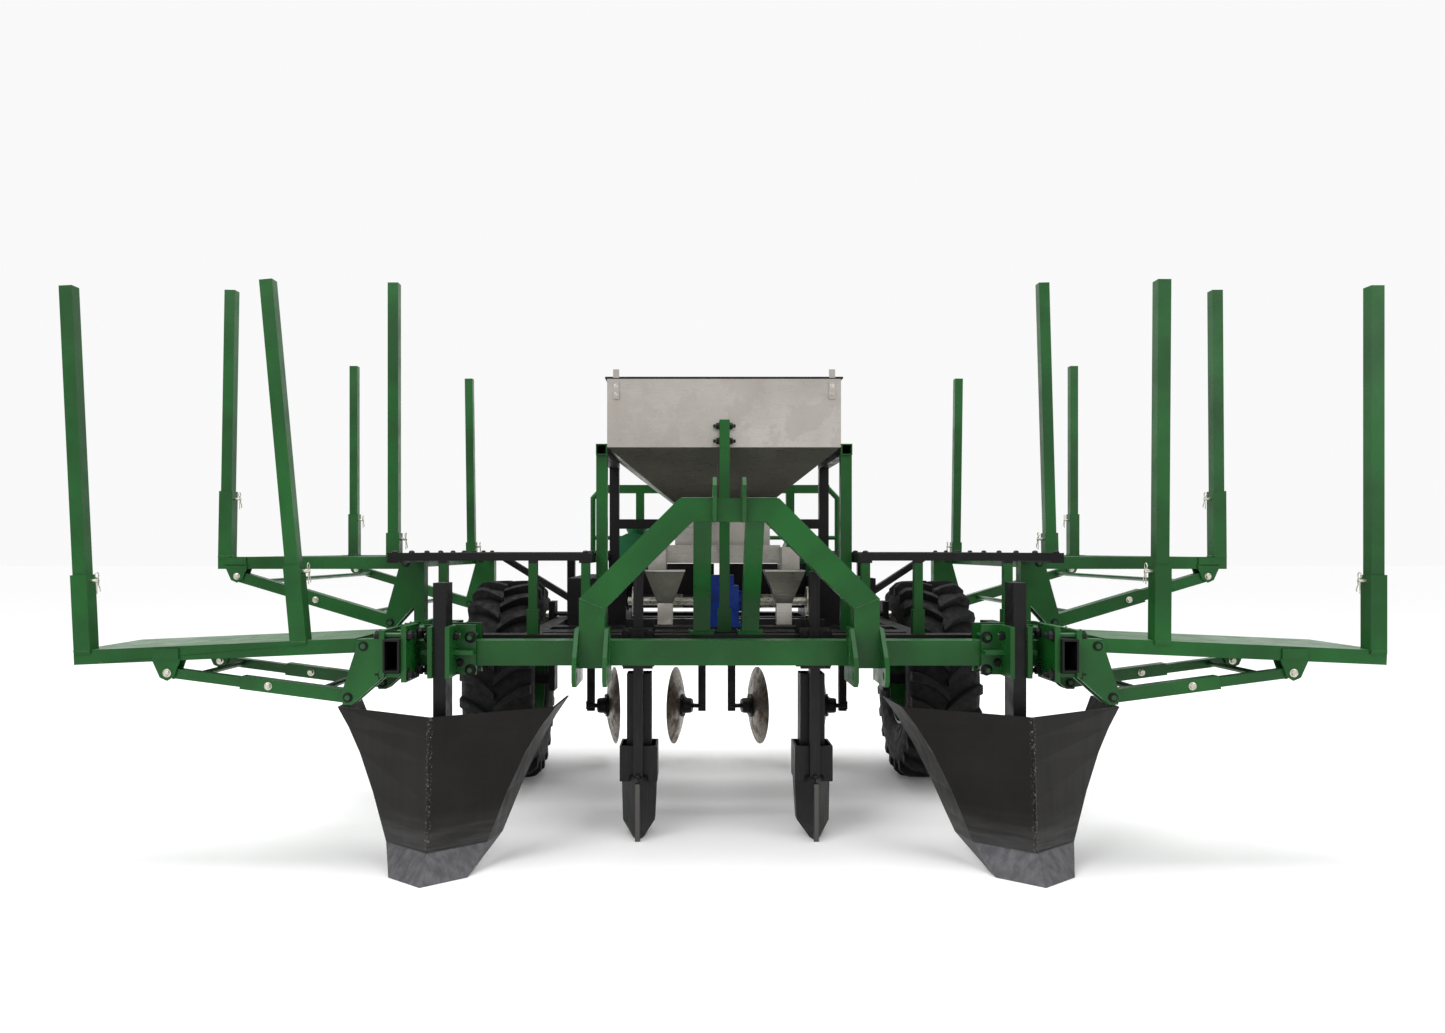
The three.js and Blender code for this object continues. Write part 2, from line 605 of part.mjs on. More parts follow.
function upperPlatform() {
  const { inner, outer, front, rear, bottom, top, slat, slats } = platform;
  const edge = 40;
  const post = 30;
  const postSocket = 40;
  let shape = join(
    box(inner, inner + edge, front, rear, bottom, top),
    box(outer - edge, outer, front, rear, bottom, top),
  );
  const pitch = (rear - front - slat) / (slats - 1);
  for (let i = 0; i < slats; i++) {
    const y = front + i * pitch;
    shape = shape.add(box(inner + 10, outer - 10, y, y + slat, bottom + 8, top));
  }
  for (const x of platformPosts) {
    shape = shape.add(box(x - post / 2, x + post / 2, front, front + post, beamTop + gap, bottom + 12));
    shape = shape.add(box(x - postSocket / 2, x + postSocket / 2, front - 5, front + post + 5,
      beamTop + gap, beamTop + 85));
  }
  const rearLegY = rearBeamY + beam / 2;
  for (const x of [inner + edge / 2, spine.outer - 20]) {
    shape = shape.add(box(x - 18, x + 18, rearLegY - 18, rearLegY + 18, beamTop + gap, bottom + 12));
  }
  const outline = [
    [outer - 10, 880], [outer - 20, upperRack.hingeZ + 12], [upperRack.hingeX - 6, upperRack.hingeZ + 24],
    [upperRack.hingeX + 21, upperRack.hingeZ + 13], [upperRack.hingeX + 25, upperRack.hingeZ - 12],
    [upperRack.strutFootX + 25, upperRack.strutFootZ], [upperRack.strutFootX + 14, upperRack.strutFootZ - 21],
    [upperRack.strutFootX - 14, upperRack.strutFootZ - 21], [outer - 10, 770],
  ];
  const mastBottom = 645;
  for (const y of stations(upperRack)) {
    shape = shape.add(hingePlates(outline, upperRack, y));
    shape = shape.add(box(outer - 38, outer, y - 38, y + 23, mastBottom, bottom + 10));
  }
  const [frontY] = stations(upperRack);
  const arm = [sideBeam.inner + sideBeam.width + gap, outer - 20];
  shape = shape.add(box(...arm, frontY - 23, frontY + 23, mastBottom, mastBottom + 40));
  shape = shape.add(box(inner + 10, outer - 10, rearLegY - slat / 2, rearLegY + slat / 2, bottom + 8, top));
  const braceHead = vec(outer - 60, rear - slat / 2, bottom + 18);
  const braceFoot = vec(spine.outer - 20, rearLegY, beamTop + 60);
  shape = shape.add(bar(braceFoot, braceHead, 30, 30));
  return shape;
}

function hopperShell() {
  const mid = (hopper.front + hopper.rear) / 2;
  const skin = (inset, low, high) => loft([
    rectangleRing(-hopper.throatHalf + inset, hopper.throatHalf - inset,
      mid - hopper.throatHalf + inset, mid + hopper.throatHalf - inset, low),
    rectangleRing(-hopper.throatHalf + inset, hopper.throatHalf - inset,
      mid - hopper.throatHalf + inset, mid + hopper.throatHalf - inset, hopper.funnelBottom),
    rectangleRing(-hopper.halfWidth + inset, hopper.halfWidth - inset,
      hopper.front + inset, hopper.rear - inset, hopper.boxBottom),
    rectangleRing(-hopper.halfWidth + inset, hopper.halfWidth - inset,
      hopper.front + inset, hopper.rear - inset, high),
  ]);
  let shape = skin(0, hopper.throatBottom, hopper.top)
    .subtract(skin(hopper.wall, hopper.throatBottom - 10, hopper.top + 10));
  for (const side of [-1, 1]) {
    const x = side * lidStrapX;
    shape = shape.add(box(x - 11, x + 11, hopper.front - 6, hopper.front + 1, hopper.top - 75, hopper.top - 12));
  }
  return shape;
}

function hopperLid() {
  const over = 4;
  const low = hopper.top + 0.6;
  let shape = box(-hopper.halfWidth - over, hopper.halfWidth + over, hopper.front + 1, hopper.rear + over,
    low, low + 4);
  for (const x of [-lidStrapX, lidStrapX]) {
    shape = shape.add(box(x - 11, x + 11, hopper.front - 6, hopper.front + 4, low + 1, low + 6));
    shape = shape.add(box(x - 11, x + 11, hopper.front - 6, hopper.front - 1, low + 1, hopper.top + 32));
  }
  return shape;
}

function hopperStand() {
  const inner = hopper.halfWidth + gap;
  const outer = inner + standPost;
  const railBottom = standTop - standPost;
  let shape = null;
  for (const side of [-1, 1]) {
    const [x0, x1] = side > 0 ? [inner, outer] : [-outer, -inner];
    for (const y of [standFrontY, standRearY]) {
      const post = box(x0, x1, y, y + standPost, beamTop + gap, railBottom + 2);
      shape = shape ? shape.add(post) : post;
    }
    const rail = tube(x0, x1, standFrontY - 12, standRearY + standPost + 8, railBottom, standTop, 4, "y");
    shape = shape.add(rail);
  }
  for (const z of [1060, beamTop + 60]) {
    shape = shape.add(box(-inner - 2, inner + 2, standRearY, standRearY + standPost, z, z + standPost));
  }
  return shape;
}

function meteringBox() {
  const { halfWidth, front, rear, bottom } = metering;
  const top = hopper.throatBottom - gap;
  const wall = 3;
  let shape = box(-halfWidth, halfWidth, front, rear, bottom, top);
  shape = shape.subtract(box(-halfWidth + wall, halfWidth - wall, front + wall, rear - wall, bottom + wall, top + 5));
  const { x, y, halfTop, halfBottom, neck } = funnel;
  const square = (half, level) => rectangleRing(x - half, x + half, y - half, y + half, level);
  const pyramid = (inset, low, high) => loft([
    square(halfBottom - inset, low), square(halfBottom - inset, neck),
    square(halfTop - inset, funnel.top), square(halfTop - inset, high),
  ]);
  const spout = pyramid(0, funnel.bottom, funnel.top + 4).subtract(pyramid(wall, funnel.bottom - 5, funnel.top + 12));
  const chute = box(halfWidth - 4, halfWidth + 60, y + halfTop - 6, front + 90, funnel.top - 35, top - 8);
  const side = join(spout, chute);
  return join(shape, side, mirrored(side));
}

function motorHousing() {
  const { halfWidth, front, rear, top } = motor;
  const foot = beamTop + gap;
  let shape = box(-halfWidth, halfWidth, front, rear, foot + 12, top - 40);
  shape = shape.add(box(-halfWidth - 24, halfWidth + 24, front + 6, rear - 6, foot, foot + 14));
  shape = shape.add(box(-halfWidth + 18, halfWidth - 18, front + 18, rear - 18, top - 42, top));
  const end = (x) => vec(x, shaft.y, shaft.z);
  const along = (reach, radius, sides) => rod(end(-reach), end(reach), radius, sides);
  shape = shape.add(along(halfWidth + 18, 40, 16));
  return shape.subtract(along(halfWidth + 30, shaft.radius + 1.5, 16));
}

function driveShaft() {
  const end = (x) => vec(x, shaft.y, shaft.z);
  let shape = rod(end(-shaft.half), end(shaft.half), shaft.radius, 16);
  for (const side of [-1, 1]) {
    shape = shape.add(rod(end(side * 150), end(side * 215), 27, 12));
    shape = shape.add(rod(end(side * (shaft.half - 40)), end(side * (shaft.half - 18)), 55, 18));
  }
  return shape;
}

function hosePost() {
  const half = 18;
  const y = 386;
  let shape = box(-half, half, y - half, y + half, beamTop + gap, 1434);
  shape = shape.add(box(-24, 24, y - 24, y + 24, beamTop + gap, 761));
  for (const z of [1359, 1413]) {
    shape = shape.add(rod(vec(-34, y, z), vec(34, y, z), 7, 6));
  }
  return shape;
}

// Turns a wheel piece made about Z on to its axle, with a flat of its outline on the ground.
function onWheel(shape) {
  const matrix = new THREE.Matrix4().makeTranslation(wheel.x, wheel.y, wheel.radius)
    .multiply(new THREE.Matrix4().makeRotationY(Math.PI / 2))
    .multiply(new THREE.Matrix4().makeRotationZ(Math.PI / wheel.sides));
  return moved(shape, matrix);
}

function tyreShape() {
  const r = wheel.radius / Math.cos(Math.PI / wheel.sides);
  const w = wheel.width / 2;
  const bead = wheel.rim + 1;
  const profile = [
    [bead, -w + 30], [bead + 60, -w + 4], [r - 44, -w], [r, -w + 40],
    [r, w - 40], [r - 44, w], [bead + 60, w - 4], [bead, w - 30],
    [bead + 12, w - 48], [r - 60, w - 40], [r - 60, -w + 40], [bead + 12, -w + 48],
    [bead, -w + 30],
  ];
  return onWheel(turned(profile, wheel.sides));
}

function rimShape() {
  const w = wheel.width / 2 - 26;
  const r = wheel.rim;
  const bore = wheel.axle + 1.5;
  const profile = [
    [bore, -70], [46, -70], [46, -6], [r - 10, 8], [r - 14, -w], [r, -w],
    [r, w], [r - 14, w], [r - 10, 18], [52, 4], [52, 60], [bore, 60], [bore, -70],
  ];
  return onWheel(turned(profile, wheel.sides));
}

function wheelLeg() {
  const { x, y, radius, axle } = wheel;
  const face = spine.outer + gap;
  const plate = 25;
  const half = 50;
  let shape = box(face, face + plate, y - half, y + half, radius - half, beamTop + 70);
  shape = shape.add(rod(vec(face + plate - 3, y, radius), vec(x + 72, y, radius), axle, 16));
  shape = shape.add(rod(vec(x + 64, y, radius), vec(x + 84, y, radius), axle + 12, 12));
  for (const dy of [-30, 30]) {
    for (const z of [frameBottom - 14, beamTop + 16]) {
      shape = shape.add(rod(vec(spine.inner - 32, y + dy, z), vec(face + plate + 16, y + dy, z), 8, 8));
    }
  }
  const backPlate = box(spine.inner - gap - 14, spine.inner - gap, y - half, y + half, frameBottom - 30, beamTop + 34);
  return shape.add(backPlate);
}

// Where a disc sits: "facing" is +1 when its hub points to +X.
function discMatrix(x, facing) {
  const turn = new THREE.Matrix4().makeRotationZ(radians(x === disc.xs.inner ? disc.yaw : -disc.yaw));
  const face = new THREE.Matrix4().makeRotationY(facing * Math.PI / 2);
  return new THREE.Matrix4().makeTranslation(x, disc.y, disc.z).multiply(turn).multiply(face);
}

function discShape(x, facing) {
  const bore = 11.5;
  const { radius, dish, skin } = disc;
  const sphere = (radius * radius + dish * dish) / (2 * dish);
  const rise = (r) => Math.sqrt(sphere * sphere - r * r) - (sphere - dish);
  const radii = [radius, 140, 90, 50];
  const profile = [
    [bore, dish - 2], ...radii.slice().reverse().map((r) => [r, rise(r) - skin]), ...radii.map((r) => [r, rise(r)]),
    [34, dish + 2], [34, dish + 44], [bore, dish + 44], [bore, dish - 2],
  ];
  return moved(turned(profile, 20), discMatrix(x, facing));
}

function discBracket() {
  const half = discArm.size / 2;
  const tool = { front: 1435, rear: 1490, bottom: 610, top: 665 };
  let side = null;
  for (const [key, facing] of [["inner", -1], ["outer", 1]]) {
    const x = discArm[key];
    const arm = box(x - half, x + half, disc.y - half, disc.y + half, disc.z - half - 8, tool.top + 60);
    const matrix = discMatrix(disc.xs[key], facing);
    const tip = vec(0, 0, disc.dish + 8).applyMatrix4(matrix);
    const root = vec(0, 0, disc.dish + 95).applyMatrix4(matrix);
    const stub = rod(tip, root, 10, 12);
    side = side ? join(side, arm, stub) : join(arm, stub);
    side = side.add(box(Math.min(x, root.x) - 2, Math.max(x, root.x) + 2, disc.y - half, disc.y + half,
      disc.z - half, disc.z + half));
  }
  const reach = discArm.outer + half + 12;
  let shape = join(side, mirrored(side), box(-reach, reach, tool.front, tool.rear, tool.bottom, tool.top));
  for (const x of [-400, 400]) {
    shape = shape.add(box(x - 45, x + 45, tool.rear - 3, rearBeamY - gap, frameBottom, beamTop));
  }
  return shape;
}

function plantingUnit() {
  const { inner, outer, front, rear, top } = unit;
  const foot = beamTop + gap;
  let shape = box(inner, outer, front, rear, foot, top);
  const windows = [[front + 60, front + 170], [front + 230, front + 330], [rear - 250, rear - 90]];
  for (const [y0, y1] of windows) {
    shape = shape.subtract(box(inner - 5, outer + 5, y0, y1, foot + 50, top - 45));
  }
  const clear = 8;
  const postX = hopper.halfWidth;
  shape = shape.subtract(box(inner - 5, postX + standPost + clear, standRearY - clear,
    standRearY + standPost + clear, foot - 5, top + 5));
  const cover = { inner: 296, outer: 460, front: 1250, top: 1046 };
  const radius = (cover.outer - cover.inner) / 2;
  const coverX = cover.inner + radius;
  shape = shape.add(box(cover.inner, cover.outer, cover.front, rear, top - 60, cover.top - radius));
  const coverEnd = (y) => vec(coverX, y, cover.top - radius);
  shape = shape.add(rod(coverEnd(cover.front), coverEnd(rear), radius, 20));
  shape = shape.add(box(apron.inner, inner + 2, apron.y, apron.y + apron.thickness, apron.bottom, apron.top));
  const bowl = 3;
  const cupProfile = [
    [cup.neckRadius, cup.bottom], [cup.neckRadius, cup.coneZ], [cup.rimRadius, cup.rimZ],
    [cup.rimRadius - bowl, cup.rimZ], [cup.neckRadius - bowl, cup.coneZ - 2], [cup.neckRadius - bowl, cup.bottom],
    [cup.neckRadius, cup.bottom],
  ];
  const cupShape = moved(turned(cupProfile, 16), new THREE.Matrix4().makeTranslation(cup.x, cup.y, 0));
  return shape.add(cupShape);
}

function guardRail() {
  const { y, top, postX, legX, tube: size } = guard;
  const half = size / 2;
  const foot = platform.top + gap;
  const low = 1030;
  let shape = box(-legX + 40, legX - 40, y - half, y + half, top - size, top);
  shape = shape.add(rod(vec(-legX, y, low), vec(legX, y, low), 10, 8));
  for (const side of [-1, 1]) {
    shape = shape.add(box(side * postX - half, side * postX + half, y - half, y + half, low - 70, top - 2));
    shape = shape.add(rod(vec(side * legX, y, foot), vec(side * legX, y, 1230), 13, 10));
    shape = shape.add(rod(vec(side * legX, y, 1224), vec(side * (legX - 46), y, top - 16), 13, 10));
    shape = shape.add(box(side * legX - 40, side * legX + 40, y - 30, y + 30, foot, foot + 6));
  }
  return shape;
}

place("front_beam", frontBeam(), green);
place("main_frame", mainFrame(), black);
place("headstock", headstock(), green);
placePair("ridger_clamp", ridgerClamp(), green);
placePair("ridger_shank", ridgerShank(), black);
placePair("ridger_body", ridgerBody(), soilSteel);
placePair("opener", opener(), black);
placePair("lower_rack_bracket", lowerRackBracket(), green);

for (const side of ["right", "left"]) {
  const turnedOver = (shape) => (side === "left" ? mirrored(shape) : shape);
  const leanOf = (spec) => (side === "left" ? spec.leanLeft : spec.leanRight);
  const [lowerFront] = stations(lowerRack);
  const lowerPosts = [];
  for (const [key, spec] of Object.entries(lowerStakes)) {
    const post = { spec, y: lowerFront, lean: leanOf(spec) };
    lowerPosts.push(post);
    place(`lower_stake_${key}_${side}`, turnedOver(stakeShape(lowerRack, spec, post.y, post.lean)), green);
  }
  place(`lower_rack_${side}`, turnedOver(rackFrame(lowerRack, lowerPosts, [1460, 1720], 5)), green);
  const [upperFront, upperRear] = stations(upperRack);
  const upperPosts = [];
  for (const [key, spec] of Object.entries(upperStakes)) {
    const post = { spec, y: key.startsWith("front") ? upperFront : upperRear, lean: leanOf(spec) };
    upperPosts.push(post);
    place(`upper_stake_${key}_${side}`, turnedOver(stakeShape(upperRack, spec, post.y, post.lean)), green);
  }
  place(`upper_rack_${side}`, turnedOver(rackFrame(upperRack, upperPosts, [1253, 1470, 1690], 0)), green);
}

placePair("lower_strut_tube", strutTubes(lowerRack), green);
placePair("lower_strut_bar", strutBars(lowerRack), green);
placePair("upper_strut_tube", strutTubes(upperRack), green);
placePair("upper_strut_bar", strutBars(upperRack), green);
placePair("upper_platform", upperPlatform(), black);
place("hopper", hopperShell(), stainless);
place("hopper_lid", hopperLid(), stainless);
place("hopper_stand", hopperStand(), green);
place("metering_box", meteringBox(), stainless);
place("gearbox", motorHousing(), blue);
place("drive_shaft", driveShaft(), zinc);
place("hose_post", hosePost(), green);
placePair("tyre", tyreShape(), rubber);
placePair("rim", rimShape(), green);
placePair("wheel_leg", wheelLeg(), black);
placePair("disc_inner", discShape(disc.xs.inner, -1), discSteel);
placePair("disc_outer", discShape(disc.xs.outer, 1), discSteel);
place("disc_bracket", discBracket(), black);
placePair("planting_unit", plantingUnit(), black);
place("guard_rail", guardRail(), green);

export default machine;
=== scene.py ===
"""Looks of the two-row stalk planter: materials, wheels, discs, fasteners, clips and welds on the frame."""

import json
import math
import random

import bmesh
import bpy
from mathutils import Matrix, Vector


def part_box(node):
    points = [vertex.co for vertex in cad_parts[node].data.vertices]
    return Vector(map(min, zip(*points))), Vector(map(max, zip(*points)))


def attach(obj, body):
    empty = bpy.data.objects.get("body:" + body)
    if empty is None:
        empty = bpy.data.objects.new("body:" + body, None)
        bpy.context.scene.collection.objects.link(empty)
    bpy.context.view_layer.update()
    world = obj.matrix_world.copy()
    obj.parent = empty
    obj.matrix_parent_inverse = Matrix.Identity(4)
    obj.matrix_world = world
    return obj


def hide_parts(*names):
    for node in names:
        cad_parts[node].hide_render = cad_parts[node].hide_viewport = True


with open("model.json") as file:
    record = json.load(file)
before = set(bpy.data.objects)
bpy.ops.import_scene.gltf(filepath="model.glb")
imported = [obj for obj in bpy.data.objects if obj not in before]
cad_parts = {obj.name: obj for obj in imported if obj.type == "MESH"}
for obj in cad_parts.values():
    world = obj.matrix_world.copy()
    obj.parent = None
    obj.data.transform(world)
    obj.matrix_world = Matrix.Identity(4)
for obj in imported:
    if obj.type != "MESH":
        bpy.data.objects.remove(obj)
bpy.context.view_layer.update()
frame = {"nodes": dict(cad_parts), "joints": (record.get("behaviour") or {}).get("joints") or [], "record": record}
nodes = frame["nodes"]
record = frame["record"]
joints = {joint["name"]: joint for joint in frame["joints"]}
SIDES = {"right": 1, "left": -1}


# ---- places taken from the frame ----

def low(node):
    return Vector(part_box(node)[0])


def high(node):
    return Vector(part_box(node)[1])


FRONT_Y = low("front_beam").y
FRAME_BOTTOM = low("front_beam").z
FRAME_TOP = high("front_beam").z

# Distances from the machine's middle plane, along X.
ROW_X = 0.900
OPENER_X = 0.298
PLATFORM_OUTER = 1.169
MAST_INNER = 1.129

# Places along the machine, from its front to its rear.
POSTS_REAR = FRONT_Y + 0.297
# Where the painted glint along the opener's knife edge ends.
KNIFE_GLINT_REAR = FRONT_Y + 0.138
STAND_MIDDLE = FRONT_Y + 0.453
APRON_FRONT = FRONT_Y + 1.130
APRON_REAR = FRONT_Y + 1.136

# Heights above the ground.
SHARE_SEAM = 0.076
FUNNEL_NECK = 0.781
FUNNEL_RIM = 0.8945
COVER_FOOT = 0.861
PLATFORM_FOOT = 0.924
PLATFORM_TOP = 0.960
HOPPER_NECK = 1.149
HOPPER_SHOULDER = 1.340


# ---- materials ----

class Shader:
    """A node material with short calls for the nodes that every material here uses."""

    def __init__(self, name):
        self.material = bpy.data.materials.new(name)
        self.material.use_nodes = True
        self.tree = self.material.node_tree
        self.surface = self.tree.nodes["Principled BSDF"]
        self.coords = self.add("ShaderNodeTexCoord")
        self.place = self.coords.outputs["Object"]

    def add(self, kind, **settings):
        node = self.tree.nodes.new(kind)
        for key, value in settings.items():
            setattr(node, key, value)
        return node

    def link(self, source, target):
        if isinstance(source, (int, float)):
            target.default_value = source
        elif isinstance(source, tuple):
            target.default_value = (*source, 1.0) if len(source) == 3 else source
        else:
            self.tree.links.new(source, target)

    def stretched(self, scale):
        mapping = self.add("ShaderNodeMapping")
        mapping.inputs["Scale"].default_value = scale
        self.link(self.place, mapping.inputs["Vector"])
        return mapping.outputs["Vector"]

    def noise(self, scale, detail=4.0, roughness=0.55, vector=None):
        node = self.add("ShaderNodeTexNoise")
        node.inputs["Scale"].default_value = scale
        node.inputs["Detail"].default_value = detail
        node.inputs["Roughness"].default_value = roughness
        self.link(vector or self.place, node.inputs["Vector"])
        return node.outputs["Fac"]

    def ramp(self, value, low_edge, high_edge, low_value=0.0, high_value=1.0):
        node = self.add("ShaderNodeMapRange")
        node.interpolation_type = "SMOOTHSTEP"
        self.link(value, node.inputs["Value"])
        node.inputs["From Min"].default_value = low_edge
        node.inputs["From Max"].default_value = high_edge
        node.inputs["To Min"].default_value = low_value
        node.inputs["To Max"].default_value = high_value
        return node.outputs["Result"]

    def past(self, value, seam, blur=0.001):
        """1 beyond a seam and 0 before it."""
        return self.ramp(value, seam - blur / 2, seam + blur / 2)

    def before(self, value, seam, blur=0.001):
        """1 before a seam and 0 beyond it."""
        return self.ramp(value, seam - blur / 2, seam + blur / 2, 1.0, 0.0)

    def math(self, operation, first, second=0.0):
        node = self.add("ShaderNodeMath", operation=operation)
        self.link(first, node.inputs[0])
        self.link(second, node.inputs[1])
        return node.outputs[0]

    def times(self, first, second):
        return self.math("MULTIPLY", first, second)

    def off_middle(self):
        """The distance from the machine's middle plane."""
        return self.math("ABSOLUTE", self.axis("X"))

    def from_plane(self, x):
        """The distance from the nearer of the two planes at x to the right and to the left."""
        return self.math("ABSOLUTE", self.math("SUBTRACT", self.off_middle(), x))

    def blend(self, factor, first, second):
        node = self.add("ShaderNodeMix", data_type="RGBA")
        self.link(factor, node.inputs["Factor"])
        self.link(first, node.inputs["A"])
        self.link(second, node.inputs["B"])
        return node.outputs["Result"]

    def axis(self, name):
        node = self.add("ShaderNodeSeparateXYZ")
        self.link(self.place, node.inputs[0])
        return node.outputs[name]

    def facing_up(self):
        node = self.add("ShaderNodeSeparateXYZ")
        self.link(self.coords.outputs["Normal"], node.inputs[0])
        return self.ramp(node.outputs["Z"], 0.5, 0.95)

    def color(self, source):
        self.link(source, self.surface.inputs["Base Color"])

    def roughness(self, source):
        self.link(source, self.surface.inputs["Roughness"])

    def bump(self, height, strength, distance):
        node = self.add("ShaderNodeBump")
        node.inputs["Strength"].default_value = strength
        node.inputs["Distance"].default_value = distance
        self.link(height, node.inputs["Height"])
        self.link(node.outputs["Normal"], self.surface.inputs["Normal"])

    def set(self, **values):
        for key, value in values.items():
            self.surface.inputs[key.replace("_", " ")].default_value = value


DARK_GREEN = (0.0040, 0.050, 0.0070)
MID_GREEN = (0.0065, 0.082, 0.0125)
SCUFFED_GREEN = (0.013, 0.115, 0.028)
# Pale film for green paint on up-facing faces: dust and a painted top light.
GREEN_DUST_AND_TOP_LIGHT = (0.060, 0.175, 0.080)
BLACK = (0.0030, 0.0029, 0.0031)
BLACK_WORN = (0.0100, 0.0095, 0.0090)
# Pale film for black paint on up-facing faces: dust and a painted top light.
BLACK_DUST_AND_TOP_LIGHT = (0.055, 0.052, 0.047)


def green_color(shader, dark=DARK_GREEN, mid=MID_GREEN):
    """Slowly varying enamel with pale scuffs, and a thin pale film on what faces up: dust, and also painted light
    that makes the top faces look lit from above.
    """
    clouds = shader.ramp(shader.noise(3.2, 5.0), 0.35, 0.68)
    coat = shader.blend(clouds, dark, mid)
    scuffs = shader.ramp(shader.noise(38.0, 8.0, 0.7), 0.62, 0.78, 0.0, 0.5)
    coat = shader.blend(scuffs, coat, SCUFFED_GREEN)
    # Pale film on up-facing faces: dust, and a painted highlight of top faces lit from above.
    dust = shader.times(shader.facing_up(), shader.ramp(shader.noise(9.0, 6.0), 0.3, 0.75, 0.15, 0.55))
    return shader.blend(dust, coat, GREEN_DUST_AND_TOP_LIGHT)


def green_paint():
    shader = Shader("green_enamel")
    shader.color(green_color(shader))
    shader.roughness(shader.ramp(shader.noise(14.0, 6.0), 0.3, 0.75, 0.26, 0.44))
    shader.set(Coat_Weight=0.06, Coat_Roughness=0.2, Specular_IOR_Level=0.22)
    shader.bump(shader.noise(420.0, 3.0), 0.16, 0.0006)
    return shader.material


def deck_paint():
    """Green enamel with raised diamonds on the deck, and trodden dust over them."""
    shader = Shader("deck_enamel")
    across_pitch = 2 * math.pi / 0.034
    along_pitch = across_pitch * 0.55
    across = shader.times(shader.math("ADD", shader.axis("X"), shader.axis("Y")), across_pitch)
    along = shader.times(shader.math("SUBTRACT", shader.axis("X"), shader.axis("Y")), along_pitch)
    studs = shader.times(shader.math("SINE", across), shader.math("SINE", along))
    raised = shader.times(shader.ramp(studs, 0.35, 0.6), shader.facing_up())
    trodden = shader.times(shader.facing_up(), shader.ramp(shader.noise(5.0, 7.0), 0.3, 0.7, 0.45, 0.85))
    shader.color(shader.blend(trodden, green_color(shader), (0.105, 0.165, 0.105)))
    shader.roughness(shader.ramp(shader.noise(14.0, 6.0), 0.3, 0.75, 0.34, 0.56))
    shader.set(Specular_IOR_Level=0.22)
    shader.bump(raised, 0.7, 0.0015)
    return shader.material


def black_color(shader):
    worn = shader.ramp(shader.noise(18.0, 9.0, 0.68), 0.55, 0.78)
    coat = shader.blend(worn, BLACK, BLACK_WORN)
    # Pale film on up-facing faces: dust, and a painted highlight of top faces lit from above.
    dust = shader.times(shader.facing_up(), shader.ramp(shader.noise(7.0, 5.0), 0.35, 0.7, 0.0, 0.35))
    return shader.blend(dust, coat, BLACK_DUST_AND_TOP_LIGHT)


def black_paint():
    shader = Shader("black_enamel")
    shader.color(black_color(shader))
    shader.roughness(shader.ramp(shader.noise(22.0, 6.0), 0.3, 0.7, 0.36, 0.58))
    shader.set(Specular_IOR_Level=0.2)
    shader.bump(shader.noise(300.0, 4.0), 0.22, 0.0007)
    return shader.material


def platform_paint():
    """Black slats and angle, with green posts in front and green hinge masts outside."""
    shader = Shader("platform_enamel")
    side = shader.off_middle()
    outside = shader.past(side, PLATFORM_OUTER, 0.002)
    masts = shader.times(shader.past(side, MAST_INNER), shader.before(shader.axis("Z"), PLATFORM_FOOT))
    posts = shader.times(shader.before(shader.axis("Y"), POSTS_REAR, 0.002),
                         shader.before(shader.axis("Z"), PLATFORM_FOOT))
    green = shader.math("MAXIMUM", shader.math("MAXIMUM", outside, masts), posts)
    shader.color(shader.blend(green, black_color(shader), green_color(shader)))
    shader.roughness(shader.ramp(shader.noise(22.0, 6.0), 0.3, 0.7, 0.32, 0.52))
    shader.set(Specular_IOR_Level=0.2)
    shader.bump(shader.noise(300.0, 4.0), 0.2, 0.0006)
    return shader.material


def stand_paint():
    """Green posts in front and black ones behind."""
    shader = Shader("stand_enamel")
    behind = shader.past(shader.axis("Y"), STAND_MIDDLE)
    shader.color(shader.blend(behind, green_color(shader), black_color(shader)))
    shader.roughness(shader.ramp(shader.noise(14.0, 6.0), 0.3, 0.75, 0.3, 0.48))
    shader.set(Specular_IOR_Level=0.22)
    shader.bump(shader.noise(420.0, 3.0), 0.16, 0.0006)
    return shader.material


def planter_paint():
    """Black housing and apron, with a light green cover and feed cup above."""
    shader = Shader("planter_enamel")
    light = green_color(shader, (0.016, 0.130, 0.045), (0.030, 0.200, 0.080))
    top = shader.past(shader.axis("Z"), COVER_FOOT)
    margin = 0.0015
    behind_apron = shader.past(shader.axis("Y"), APRON_REAR + margin)
    before_apron = shader.before(shader.axis("Y"), APRON_FRONT - margin)
    top = shader.times(top, shader.math("MAXIMUM", behind_apron, before_apron))
    shader.color(shader.blend(top, black_color(shader), light))
    shader.roughness(shader.ramp(shader.noise(22.0, 6.0), 0.3, 0.7, 0.32, 0.52))
    shader.set(Specular_IOR_Level=0.2)
    shader.bump(shader.noise(300.0, 4.0), 0.2, 0.0006)
    return shader.material


